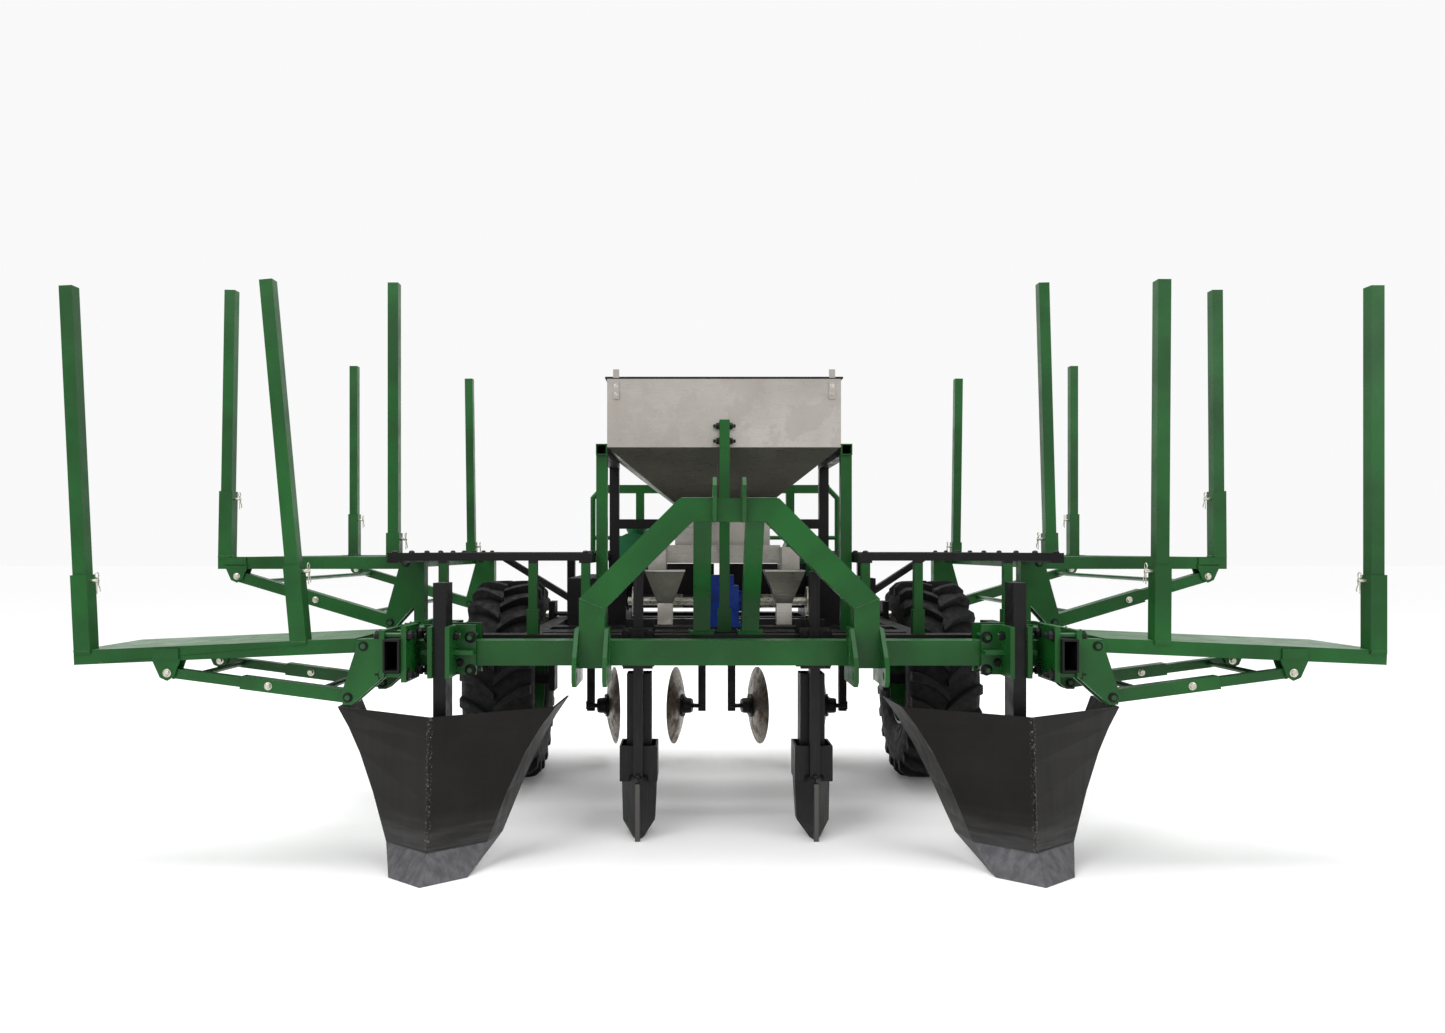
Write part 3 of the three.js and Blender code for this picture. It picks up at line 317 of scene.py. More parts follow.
def ridger_steel():
    """Dark smooth plate, rubbed brighter towards the share, with a paler share below the seam."""
    shader = Shader("ridger_plate")
    grain = shader.noise(1.0, 8.0, 0.65, shader.stretched((34.0, 34.0, 2.4)))
    rubs = shader.noise(1.0, 6.0, 0.6, shader.stretched((4.0, 4.0, 46.0)))
    blotch = shader.ramp(shader.noise(4.0, 7.0, 0.6), 0.35, 0.72)
    plate = shader.blend(blotch, (0.0038, 0.0032, 0.0028), (0.0082, 0.0070, 0.0062))
    plate = shader.blend(shader.ramp(grain, 0.50, 0.80, 0.0, 0.30), plate, (0.015, 0.013, 0.012))
    wear = shader.times(shader.ramp(shader.axis("Z"), 0.07, 0.20, 1.0, 0.0),
                        shader.ramp(rubs, 0.3, 0.7, 0.25, 0.9))
    plate = shader.blend(wear, plate, (0.052, 0.050, 0.050))
    spatter = shader.times(shader.ramp(shader.from_plane(ROW_X), 0.004, 0.012, 1.0, 0.0),
                           shader.ramp(shader.noise(150.0, 5.0, 0.7), 0.56, 0.64))
    plate = shader.blend(spatter, plate, (0.16, 0.15, 0.14))
    share = shader.before(shader.axis("Z"), SHARE_SEAM)
    share_steel = shader.blend(shader.ramp(grain, 0.35, 0.7), (0.066, 0.064, 0.070), (0.118, 0.116, 0.126))
    plate = shader.blend(share, plate, share_steel)
    rust = shader.times(shader.ramp(shader.noise(21.0, 9.0, 0.75), 0.64, 0.76), 0.35)
    shader.color(shader.blend(rust, plate, (0.045, 0.022, 0.011)))
    shader.roughness(shader.ramp(grain, 0.3, 0.75, 0.36, 0.52))
    shader.set(Metallic=0.08, Specular_IOR_Level=0.16)
    shader.bump(grain, 0.06, 0.0008)
    return shader.material


def opener_steel():
    """Black furrow opener with a painted glint along its knife edge, and scratched cheeks."""
    shader = Shader("opener_plate")
    grain = shader.noise(1.0, 8.0, 0.65, shader.stretched((90.0, 90.0, 8.0)))
    half_glint_width = 0.0072
    # Mask of a painted glint: a thin pale strip along each knife edge, in front of its rear end.
    knife_glint = shader.times(shader.before(shader.from_plane(OPENER_X), half_glint_width, 0.0008),
                         shader.before(shader.axis("Y"), KNIFE_GLINT_REAR, 0.002))
    cheek = shader.blend(shader.ramp(grain, 0.45, 0.7, 0.0, 0.5), black_color(shader), (0.024, 0.022, 0.021))
    shader.color(shader.blend(knife_glint, cheek, (0.070, 0.066, 0.062)))
    shader.roughness(shader.ramp(grain, 0.3, 0.7, 0.35, 0.55))
    shader.set(Metallic=0.1, Specular_IOR_Level=0.25)
    shader.bump(grain, 0.2, 0.0008)
    return shader.material


def stainless():
    """Mill-finish sheet with water marks, specks and a fine drawn grain, with a greenish painted shade and
    reflection on the slopes.
    """
    shader = Shader("stained_stainless")
    marks = shader.noise(6.5, 10.0, 0.62)
    blots = shader.ramp(marks, 0.50, 0.56)
    film = shader.ramp(shader.noise(2.4, 5.0), 0.3, 0.72)
    sheet = shader.blend(film, (0.33, 0.305, 0.28), (0.47, 0.445, 0.415))
    sheet = shader.blend(shader.times(blots, 0.40), sheet, (0.27, 0.245, 0.215))
    specks = shader.ramp(shader.noise(55.0, 6.0, 0.7), 0.64, 0.70, 0.0, 0.5)
    sheet = shader.blend(specks, sheet, (0.20, 0.18, 0.15))
    height = shader.axis("Z")
    # Painted shade: the sloping cones of the hopper and the funnels are darkened and tinted green, a painted shade
    # and reflection of the green frame.
    hopper_slope_shade = shader.times(shader.before(height, HOPPER_SHOULDER), shader.past(height, HOPPER_NECK))
    funnel_slope_shade = shader.times(shader.before(height, FUNNEL_RIM), shader.past(height, FUNNEL_NECK))
    slope_shade = shader.times(shader.math("MAXIMUM", hopper_slope_shade, funnel_slope_shade), 0.80)
    shader.color(shader.blend(slope_shade, sheet, (0.082, 0.084, 0.062)))
    grain = shader.noise(1.0, 6.0, 0.6, shader.stretched((14.0, 14.0, 420.0)))
    shader.roughness(shader.math("ADD", shader.ramp(grain, 0.3, 0.7, 0.26, 0.36), shader.times(blots, 0.16)))
    shader.set(Metallic=0.82)
    shader.bump(grain, 0.08, 0.0005)
    return shader.material


def zinc():
    shader = Shader("zinc_plate")
    clouds = shader.ramp(shader.noise(60.0, 5.0), 0.3, 0.7)
    shader.color(shader.blend(clouds, (0.36, 0.35, 0.28), (0.58, 0.57, 0.50)))
    shader.roughness(shader.ramp(shader.noise(140.0, 4.0), 0.3, 0.7, 0.24, 0.42))
    shader.set(Metallic=0.9)
    shader.bump(shader.noise(700.0, 2.0), 0.1, 0.0003)
    return shader.material


def blue_paint():
    shader = Shader("blue_enamel")
    clouds = shader.ramp(shader.noise(16.0, 7.0), 0.3, 0.7)
    coat = shader.blend(clouds, (0.0015, 0.016, 0.130), (0.003, 0.034, 0.260))
    chips = shader.ramp(shader.noise(75.0, 8.0, 0.7), 0.66, 0.72, 0.0, 0.8)
    shader.color(shader.blend(chips, coat, (0.012, 0.014, 0.03)))
    shader.roughness(shader.ramp(shader.noise(30.0), 0.3, 0.7, 0.26, 0.46))
    shader.set(Specular_IOR_Level=0.3)
    shader.bump(shader.noise(160.0, 5.0), 0.35, 0.0010)
    return shader.material


def disc_steel():
    """Bare, cloudy steel with a brown bloom of rust."""
    shader = Shader("disc_plate")
    rust = shader.ramp(shader.noise(17.0, 9.0, 0.66), 0.42, 0.66)
    clouds = shader.ramp(shader.noise(70.0, 5.0), 0.3, 0.7)
    bare = shader.blend(clouds, (0.115, 0.098, 0.078), (0.235, 0.205, 0.170))
    shader.color(shader.blend(rust, bare, (0.085, 0.052, 0.030)))
    shader.roughness(shader.ramp(rust, 0.0, 1.0, 0.36, 0.62))
    shader.set(Metallic=0.7)
    shader.bump(shader.noise(210.0, 7.0, 0.7), 0.25, 0.0008)
    return shader.material


def tyre_rubber():
    """Matt rubber with a fine grain and patches of dust."""
    shader = Shader("ag_tyre_rubber")
    dust = shader.ramp(shader.noise(11.0, 8.0, 0.65), 0.45, 0.75, 0.0, 0.5)
    shader.color(shader.blend(dust, (0.0030, 0.0030, 0.0034), (0.0110, 0.0105, 0.0095)))
    shader.roughness(shader.ramp(shader.noise(40.0, 6.0), 0.3, 0.7, 0.62, 0.86))
    shader.set(Specular_IOR_Level=0.3)
    shader.bump(shader.noise(240.0, 6.0, 0.7), 0.3, 0.0010)
    return shader.material


GREEN = green_paint()
BLACK_PAINT = black_paint()
PLATFORM = platform_paint()
STAND = stand_paint()
DECK = deck_paint()
PLANTER = planter_paint()
RIDGER = ridger_steel()
OPENER = opener_steel()
STAINLESS = stainless()
ZINC = zinc()
BLUE = blue_paint()
DISC = disc_steel()
TYRE = tyre_rubber()

SLOT_LOOKS = {
    "green_paint": GREEN, "black_paint": BLACK_PAINT, "ridger_steel": RIDGER, "stainless": STAINLESS,
    "zinc": ZINC, "blue_paint": BLUE, "disc_steel": DISC, "tyre_rubber": TYRE,
}
SPECIAL_LOOKS = {
    "upper_platform": PLATFORM, "planting_unit": PLANTER, "opener": OPENER, "hopper_stand": STAND,
    "lower_rack": DECK,
}
slot_of = {part["node"]: part["material_slot"] for part in record["subparts"]}


def dress(name):
    """Gives a carried-over node its material, smooth round faces and soft edges."""
    node = nodes[name]
    family = name.removesuffix("_left").removesuffix("_right")
    look = SPECIAL_LOOKS.get(family, SLOT_LOOKS[slot_of[name]])
    node.data.materials.clear()
    node.data.materials.append(look)
    for polygon in node.data.polygons:
        polygon.use_smooth = True
    node.data.set_sharp_from_angle(angle=math.radians(32))
    flatten = node.modifiers.new("flat_faces", "DECIMATE")
    flatten.decimate_type = "DISSOLVE"
    flatten.angle_limit = math.radians(0.6)
    bevel = node.modifiers.new("soft_edges", "BEVEL")
    thin = name.startswith(("hopper", "metering", "opener"))
    bevel.width = 0.0008 if thin else 0.0022
    bevel.segments = 2
    bevel.limit_method = "ANGLE"
    bevel.angle_limit = math.radians(40)
    bevel.use_clamp_overlap = True
    bevel.harden_normals = True


for node_name in nodes:
    dress(node_name)


# ---- mesh building ----

def piece(name, mesh, body, look):
    """Turns a bmesh into a shown object that rides on a body."""
    bmesh.ops.recalc_face_normals(mesh, faces=mesh.faces)
    data = bpy.data.meshes.new(name)
    mesh.to_mesh(data)
    mesh.free()
    data.materials.append(look)
    for polygon in data.polygons:
        polygon.use_smooth = True
    data.set_sharp_from_angle(angle=math.radians(34))
    made = bpy.data.objects.new(name, data)
    bpy.context.scene.collection.objects.link(made)
    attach(made, body)
    return made


def basis(axis):
    """An axis as a unit vector, with two directions at right angles to it."""
    along = Vector(axis).normalized()
    side = along.orthogonal().normalized()
    return along, side, along.cross(side)


def revolve(mesh, profile, at, axis, sides):
    """Adds a solid of revolution; the profile is (radius, distance along the axis) and may touch the axis."""
    along, side, other = basis(axis)
    rings = []
    for radius, distance in profile:
        centre = Vector(at) + along * distance
        if radius < 1e-6:
            rings.append([mesh.verts.new(centre)])
            continue
        ring = []
        for i in range(sides):
            turn = 2 * math.pi * i / sides
            ring.append(mesh.verts.new(centre + radius * (math.cos(turn) * side + math.sin(turn) * other)))
        rings.append(ring)
    for first, second in zip(rings, rings[1:]):
        for i in range(sides):
            j = (i + 1) % sides
            near = [first[i % len(first)], first[j % len(first)]]
            far = [second[j % len(second)], second[i % len(second)]]
            unique = list(dict.fromkeys(near + far))
            if len(unique) > 2:
                mesh.faces.new(unique)


def hex_head(mesh, at, axis, radius, height):
    """A washer and a chamfered hexagon head that stand on a face."""
    washer = radius * 0.16
    rim_radius = radius * 1.28
    ring = [(0, 0), (rim_radius, 0), (rim_radius, washer * 0.8), (radius * 1.22, washer), (0, washer)]
    revolve(mesh, ring, at, axis, 24)
    start = Vector(at) + Vector(axis).normalized() * washer
    hexagon = [(0, 0), (radius, 0), (radius, height * 0.82), (radius * 0.86, height), (0, height)]
    revolve(mesh, hexagon, start, axis, 6)


def nut_and_thread(mesh, at, axis, radius, height, thread):
    """A washer, a nut and the ridged end of its bolt."""
    hex_head(mesh, at, axis, radius, height)
    crest = radius * 0.56
    root = crest * 0.88
    turns = 6
    profile = [(0, 0)]
    for i in range(turns):
        start = height + thread * i / turns
        profile += [(crest, start), (root, start + thread * 0.5 / turns)]
    profile += [(crest * 0.8, height + thread), (0, height + thread)]
    revolve(mesh, profile, at, axis, 14)


def sweep(mesh, path, radius, sides=8, lumps=0.0, seed=1):
    """A tube along points; lumps gives the uneven width of a weld."""
    rng = random.Random(seed)
    points = [Vector(p) for p in path]
    rings = []
    normal = None
    for i, point in enumerate(points):
        ahead = points[min(i + 1, len(points) - 1)]
        behind = points[max(i - 1, 0)]
        along = (ahead - behind).normalized()
        if normal is None:
            normal = along.orthogonal().normalized()
        normal = (normal - along * normal.dot(along)).normalized()
        other = along.cross(normal)
        width = radius * (1 + lumps * (rng.random() - 0.5) * 2)
        ring = []
        for k in range(sides):
            turn = 2 * math.pi * k / sides
            ring.append(mesh.verts.new(point + width * (math.cos(turn) * normal + math.sin(turn) * other)))
        rings.append(ring)
    for first, second in zip(rings, rings[1:]):
        for k in range(sides):
            mesh.faces.new([first[k], first[(k + 1) % sides], second[(k + 1) % sides], second[k]])
    mesh.faces.new(rings[0])
    mesh.faces.new(rings[-1])


def line(start, end, count):
    """Evenly spaced points from start to end, both included."""
    start, end = Vector(start), Vector(end)
    return [start.lerp(end, i / count) for i in range(count + 1)]


def weld(mesh, start, end, width=0.0035, seed=1):
    """A straight bead of overlapping ripples between two points."""
    ripple = 0.005
    length = (Vector(end) - Vector(start)).length
    sweep(mesh, line(start, end, max(4, int(length / ripple))), width, 6, 0.28, seed)


# ---- wheels ----

def tyre(side_name):
    """An implement tyre with two rows of slanted lugs."""
    body = f"wheel_{side_name}"
    joint = joints[f"{body}_spin"]
    centre = Vector(joint["pos_m"])
    axle = Vector((1, 0, 0))
    name = f"tyre_{side_name}"
    half = (high(name).x - low(name).x) / 2
    outer = centre.z
    lug_height = 0.027
    carcass = outer - lug_height
    bead = 0.196
    right = [
        (bead, half - 0.030), (bead + 0.010, half - 0.018), (bead + 0.030, half - 0.010),
        (bead + 0.034, half - 0.013), (bead + 0.075, half - 0.002), (bead + 0.080, half - 0.005),
        (bead + 0.115, half - 0.001), (carcass - 0.050, half - 0.004), (carcass - 0.034, half - 0.010),
        (carcass - 0.014, half - 0.028), (carcass - 0.004, half - 0.065), (carcass, half - 0.115),
    ]
    left = [(radius, -x) for radius, x in reversed(right)]
    mesh = bmesh.new()
    foot, well = half - 0.048, half - 0.075
    inner = [(bead, -foot), (bead + 0.02, -well), (bead + 0.02, well), (bead, foot)]
    profile = right + [(carcass, 0.0)] + left + inner + [right[0]]
    revolve(mesh, profile, centre, axle, 96)
    lugs_per_row = 23
    for row in (1, -1):
        stagger = 0.5 if row > 0 else 0.0
        for i in range(lugs_per_row):
            start = 2 * math.pi * (i + stagger) / lugs_per_row
            tyre_lug(mesh, centre, row, start, half, carcass, outer)
    made = piece(f"tyre_tread_{side_name}", mesh, body, TYRE)
    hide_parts(name)


def tyre_lug(mesh, centre, row, start, half, carcass, outer):
    """One lug, from the shoulder to just past the middle of the tread; spreads are angles round the axle."""
    stations = 7
    slant, bow = 0.20, 0.04
    shoulder_drop = 0.030
    rounding = 0.004
    rings = []
    for i in range(stations):
        share = i / (stations - 1)
        x = row * (half - 0.006 - share * (half - 0.004))
        turn = start + slant * share - bow * math.sin(share * math.pi)
        drop = shoulder_drop * max(0.0, 1 - share * 3.2) ** 2
        top = outer - drop * 0.9
        foot = carcass - 0.012 - drop
        wide = 0.046 - 0.012 * share
        rising = [(foot, wide * 1.25), (top - rounding, wide), (top, wide * 0.82)]
        falling = [(radius, -spread) for radius, spread in reversed(rising)]
        ring = []
        for radius, spread in rising + falling:
            angle = turn + spread
            out = Vector((x, radius * math.cos(angle), radius * math.sin(angle)))
            ring.append(mesh.verts.new(centre + out))
        rings.append(ring)
    for first, second in zip(rings, rings[1:]):
        for k in range(6):
            mesh.faces.new([first[k], first[(k + 1) % 6], second[(k + 1) % 6], second[k]])
    mesh.faces.new(rings[0])
    mesh.faces.new(rings[-1])


def rim(side_name):
    """A pressed wheel with a well, a dished centre, a hub tube and a ring of wheel nuts."""
    body = f"wheel_{side_name}"
    outward = SIDES[side_name]
    centre = Vector(joints[f"{body}_spin"]["pos_m"])
    half = (high(f"rim_{side_name}").x - low(f"rim_{side_name}").x) / 2
    mesh = bmesh.new()
    bore, hub = 0.030, 0.050
    seat, well, edge = 0.186, 0.176, 0.1945
    inboard_centre = [
        (bore, -0.070), (0.046, -0.070), (0.046, -0.012), (0.105, -0.008), (0.128, 0.014), (0.165, 0.020),
    ]
    inboard_flange = [
        (well, 0.004), (well, -0.050), (seat, -half + 0.016), (seat, -half), (edge, -half),
        (edge, -half + 0.004),
    ]
    band = [(0.189, -half + 0.018), (0.180, -0.046), (0.180, 0.040), (0.189, half - 0.018)]
    outboard_flange = [
        (edge, half - 0.004), (edge, half), (seat, half), (seat, half - 0.016), (well, 0.044), (well, 0.030),
    ]
    outboard_centre = [
        (0.165, 0.026), (0.124, 0.020), (0.100, -0.002), (hub, -0.004), (hub, 0.058), (bore, 0.060),
        (bore, -0.070),
    ]
    profile = inboard_centre + inboard_flange + band + outboard_flange + outboard_centre
    revolve(mesh, profile, centre, (outward, 0, 0), 72)
    made = piece(f"wheel_disc_{side_name}", mesh, body, GREEN)
    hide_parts(f"rim_{side_name}")
    nuts = bmesh.new()
    count, circle = 6, 0.080
    for i in range(count):
        turn = 2 * math.pi * i / count
        at = centre + Vector((outward * -0.003, circle * math.cos(turn), circle * math.sin(turn)))
        nut_and_thread(nuts, at, (outward, 0, 0), 0.0125, 0.014, 0.010)
    piece(f"wheel_nuts_{side_name}", nuts, body, ZINC)


def cover_disc(row, side_name):
    """A concave covering disc with a bolted flange and its hub."""
    body = f"disc_{row}_{side_name}"
    joint = joints[f"{body}_spin"]
    at, axis = Vector(joint["pos_m"]), Vector(joint["axis"])
    radius, dish, skin = 0.175, 0.036, 0.004
    middle = 0.020
    sphere = (radius ** 2 + dish ** 2) / (2 * dish)
    steps = 14
    front, back = [], []
    for i in range(steps + 1):
        reach = middle + (radius - middle) * i / steps
        rise = math.sqrt(sphere ** 2 - reach ** 2) - (sphere - dish)
        ground_edge = i >= steps - 1
        thin = skin * (0.45 if ground_edge else 1.0)
        front.append((reach, rise - thin))
        back.append((reach, rise))
    mesh = bmesh.new()
    profile = [(0.0, dish - skin)] + front + list(reversed(back)) + [(0.0, dish)]
    revolve(mesh, profile, at, axis, 80)
    made = piece(f"disc_blade_{row}_{side_name}", mesh, body, DISC)
    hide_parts(body)
    hub = bmesh.new()
    flange, sleeve, socket = 0.052, 0.034, 0.0115
    outline = [
        (0.0, dish - 0.001), (flange, dish - 0.003), (flange, dish + 0.005), (sleeve + 0.002, dish + 0.008),
        (sleeve, dish + 0.034), (0.030, dish + 0.043), (socket, dish + 0.044), (socket, dish + 0.012),
        (0.0, dish + 0.012),
    ]
    revolve(hub, outline, at, axis, 40)
    along, side, other = basis(axis)
    bolts, circle = 5, 0.043
    for i in range(bolts):
        turn = 2 * math.pi * i / bolts
        offset = circle * (math.cos(turn) * side + math.sin(turn) * other)
        hex_head(hub, at + offset + along * (dish + 0.004), axis, 0.0055, 0.005)
        hex_head(hub, at + offset + along * (dish - skin), -along, 0.0055, 0.004)
    piece(f"disc_hub_{row}_{side_name}", hub, body, BLACK_PAINT)


# ---- fasteners ----

# x, inner and outer are distances from the middle plane; front, rear and y are places along the machine,
# from the front beam's face, or from the axle for the wheel legs.
RIDGER_BOLTS = {"x": (0.822, 0.954), "front": -0.014, "rear": 0.0943, "radius": 0.0145}
OPENER_BOLTS = {"x": (0.260, 0.336), "front": 0.1557, "rear": 0.3243, "radius": 0.0125}
BRACKET_BOLTS = {"y": (-0.159, -0.038, 0.123, 0.187), "z": (0.590, 0.710), "inner": 0.9837, "outer": 1.0663}
LEG_BOLTS = {"y": (-0.030, 0.030), "inner": 0.6257, "outer": 0.7253, "radius": 0.0140}


def clamp_bolts():
    """Bolts of the ridger clamps, the opener clamps and the rack brackets."""
    mesh = bmesh.new()
    past_beam = 0.012
    levels = (FRAME_BOTTOM - past_beam, FRAME_TOP + past_beam)
    forward, rearward = (0, -1, 0), (0, 1, 0)
    for side in SIDES.values():
        for clamp, head, nut in ((RIDGER_BOLTS, 0.012, 0.013), (OPENER_BOLTS, 0.011, 0.012)):
            for x in clamp["x"]:
                for z in levels:
                    front = (side * x, FRONT_Y + clamp["front"], z)
                    rear = (side * x, FRONT_Y + clamp["rear"], z)
                    hex_head(mesh, front, forward, clamp["radius"], head)
                    nut_and_thread(mesh, rear, rearward, clamp["radius"], nut, 0.012)
        for y in BRACKET_BOLTS["y"]:
            for z in BRACKET_BOLTS["z"]:
                inner = (side * BRACKET_BOLTS["inner"], FRONT_Y + y, z)
                outer = (side * BRACKET_BOLTS["outer"], FRONT_Y + y, z)
                nut_and_thread(mesh, inner, (-side, 0, 0), 0.0145, 0.013, 0.014)
                hex_head(mesh, outer, (side, 0, 0), 0.0150, 0.013)
        for x in (0.856, 0.944):
            upper = (side * x, FRONT_Y - 0.060, 0.700)
            lower = (side * x, FRONT_Y - 0.014, 0.612)
            hex_head(mesh, upper, forward, 0.0115, 0.010)
            hex_head(mesh, lower, forward, 0.0105, 0.009)
    piece("clamp_fasteners", mesh, "frame", BLACK_PAINT)


def wheel_leg_bolts():
    """Bolts above and below the spines that hold the wheel legs' clamps."""
    mesh = bmesh.new()
    radius = LEG_BOLTS["radius"]
    for name, side in SIDES.items():
        middle = joints[f"wheel_{name}_spin"]["pos_m"][1]
        for y in LEG_BOLTS["y"]:
            for z in (FRAME_BOTTOM - 0.014, FRAME_TOP + 0.016):
                hex_head(mesh, (side * LEG_BOLTS["outer"], middle + y, z), (side, 0, 0), radius, 0.012)
                inner = (side * LEG_BOLTS["inner"], middle + y, z)
                nut_and_thread(mesh, inner, (-side, 0, 0), radius, 0.012, 0.010)
    piece("wheel_leg_fasteners", mesh, "frame", ZINC)


# rail, bar and tube: the sections of the rack's tube and of the strut's two tubes.
# lock: from the strut's foot to its lock bolt.
# head: the place of the strut bracket's bolt along X and Z.
# droop: how far the rack slopes down, in degrees.
RACKS = {
    "lower": {
        "rail": 0.040, "bar": 0.030, "tube": 0.040, "lock": 0.250, "head": (1.717, 0.595), "droop": 2.5,
    },
    "upper": {
        "rail": 0.046, "bar": 0.040, "tube": 0.050, "lock": 0.300, "head": (1.843, 0.870), "droop": 0.0,
    },
}


def rail_planes(level, side_name):
    """The places along Y of a rack's front and rear rails, with a strut under each."""
    bar = f"{level}_strut_bar_{side_name}"
    apart = high(bar).y - low(bar).y - RACKS[level]["bar"]
    middle = joints[f"{level}_rack_{side_name}_fold"]["pos_m"][1]
    return [middle - apart / 2, middle + apart / 2]


def rack_fasteners(level, side_name):
    """Hinge pin heads, strut lock bolts and the heads on the strut brackets of one rack."""
    side = SIDES[side_name]
    facts = RACKS[level]
    rack = f"{level}_rack_{side_name}"
    fold = Vector(joints[f"{rack}_fold"]["pos_m"])
    swing = Vector(joints[f"{level}_strut_swing_{side_name}"]["pos_m"])
    reach = Vector(joints[f"{level}_strut_slide_{side_name}"]["axis"]).normalized()
    lock = swing + reach * facts["lock"]
    head_x, head_z = facts["head"]
    pins = bmesh.new()
    locks = bmesh.new()
    heads = bmesh.new()
    pin_face = facts["rail"] / 2 + 0.015
    lock_face = facts["tube"] / 2
    head_face = facts["bar"] / 2 + 0.0085
    pin_head = [
        (0, 0), (0.015, 0), (0.015, 0.0025), (0.012, 0.003), (0.012, 0.006), (0.010, 0.0075), (0, 0.0075),
    ]
    for y in rail_planes(level, side_name):
        for way in (-1, 1):
            out = (0, way, 0)
            for pivot in (fold, swing):
                revolve(pins, pin_head, (pivot.x, y + way * pin_face, pivot.z), out, 28)
            hex_head(locks, (lock.x, y + way * lock_face, lock.z), out, 0.0095, 0.008)
            hex_head(heads, (side * head_x, y + way * head_face, head_z), out, 0.0100, 0.008)
    piece(f"{level}_hinge_pin_heads_{side_name}", pins, "frame", BLACK_PAINT)
    piece(f"{level}_strut_lock_bolts_{side_name}", locks, f"{level}_strut_tube_{side_name}", ZINC)
    piece(f"{level}_strut_bracket_bolts_{side_name}", heads, rack, ZINC)


def cheek_plates(level, side_name):
    """The strut brackets' plates where they lap over a rack's rails."""
    side = SIDES[side_name]
    facts = RACKS[level]
    rack = f"{level}_rack_{side_name}"
    fold = Vector(joints[f"{rack}_fold"]["pos_m"])
    head_x, head_z = facts["head"]
    rail_z = fold.z - (head_x - abs(fold.x)) * math.tan(math.radians(facts["droop"]))
    top = rail_z + facts["rail"] / 2 - 0.002
    bottom = head_z + 0.040
    width, thickness = 0.080, 0.006
    face = facts["rail"] / 2 + 0.0025
    mesh = bmesh.new()
    for y in rail_planes(level, side_name):
        for way in (-1, 1):
            centre = Vector((side * (head_x + 0.004), y + way * face, (top + bottom) / 2))
            made = bmesh.ops.create_cube(mesh, size=1.0)["verts"]
            bmesh.ops.scale(mesh, vec=(width, thickness, top - bottom), verts=made)
            bmesh.ops.translate(mesh, vec=centre, verts=made)
    bmesh.ops.bevel(mesh, geom=mesh.edges[:], offset=0.0014, segments=2, affect="EDGES")
    piece(f"{level}_cheek_plates_{side_name}", mesh, rack, GREEN)


def clip(mesh, at, outward):
    """A spring cotter: a cross pin's end with a looped wire hung through it."""
    at = Vector(at)
    out = Vector((outward, 0, 0))
    revolve(mesh, [(0, 0), (0.0055, 0), (0.0055, 0.020), (0.0042, 0.023), (0, 0.023)], at, out, 16)
    base = at + out * 0.016
    loop, wire = 0.009, 0.0016
    steps = 14
    path = []
    for i in range(steps + 1):
        turn = math.radians(-60 + 330 * i / steps)
        path.append(base + Vector((outward * 0.002, loop * math.cos(turn), 0.016 + loop * math.sin(turn))))
    path += line(path[-1], base + Vector((outward * 0.004, -0.004, -0.040)), 5)[1:]
    sweep(mesh, path, wire, 8)
    leg_top = base + Vector((outward * 0.002, 0.006, 0.008))
    leg_foot = base + Vector((outward * 0.006, 0.009, -0.034))
    leg = line(leg_top, leg_foot, 6)
    for i, point in enumerate(leg):
        point.y += 0.003 * math.sin(i * 1.6)
    sweep(mesh, leg, wire, 8)


# Each stake's socket: its distance from the middle plane, and the height of its pin.
STAKES = {
    "lower": {"outer": (1.976, 0.876), "inner": (1.318, 0.905)},
    "upper": {"front_outer": (1.891, 1.165), "front_inner": (1.253, 1.012),
              "rear_outer": (1.860, 1.125), "rear_inner": (1.253, 0.988)},
}


def socket_clips(level, side_name):
    """Each stake's pin through its socket, with the clip on the side nearer the machine."""
    side = SIDES[side_name]
    half_stake, half_socket = 0.020, 0.025
    pin_head = [(0, 0), (0.009, 0), (0.008, 0.0015), (0.006, 0.002), (0, 0.002)]
    mesh = bmesh.new()
    for key, (_, z) in STAKES[level].items():
        stake = f"{level}_stake_{key}_{side_name}"
        lift = Vector(joints[f"{stake}_lift"]["axis"])
        y = (low(stake).y + high(stake).y) / 2
        foot_x = low(stake).x + half_stake if lift.x >= 0 else high(stake).x - half_stake
        x = foot_x + (z - low(stake).z) * lift.x / lift.z
        clip(mesh, (x - side * half_socket, y, z), -side)
        revolve(mesh, pin_head, (x + side * half_socket, y, z), (side, 0, 0), 20)
    piece(f"{level}_socket_clips_{side_name}", mesh, f"{level}_rack_{side_name}", ZINC)


def hose_post_bolts():
    mesh = bmesh.new()
    y = (low("hose_post").y + high("hose_post").y) / 2
    half_post = 0.018
    for z in (1.359, 1.413):
        for side in SIDES.values():
            nut_and_thread(mesh, (side * half_post, y, z), (side, 0, 0), 0.0115, 0.010, 0.012)
    piece("hose_post_fasteners", mesh, "frame", BLACK_PAINT)


def hopper_fittings():
    """Bolts of the lid's hinge straps and the rolled edge of the lid."""
    top = high("hopper").z
    bolts = bmesh.new()
    for side in SIDES.values():
        for drop in (0.028, 0.058):
            hex_head(bolts, (side * 0.389, FRONT_Y + 0.418, top - drop), (0, -1, 0), 0.0060, 0.005)
    piece("hinge_strap_bolts", bolts, "frame", ZINC)
    rolled_edge = bmesh.new()
    left, right, rear = low("hopper_lid").x, high("hopper_lid").x, high("hopper_lid").y
    front = FRONT_Y + 0.425
    z = top + 0.0026
    corners = [(left, front, z), (right, front, z), (right, rear, z), (left, rear, z)]
    for i in range(4):
        sweep(rolled_edge, line(corners[i], corners[(i + 1) % 4], 12), 0.0042, 10)
    piece("lid_rolled_edge", rolled_edge, "hopper_lid", BLACK_PAINT)


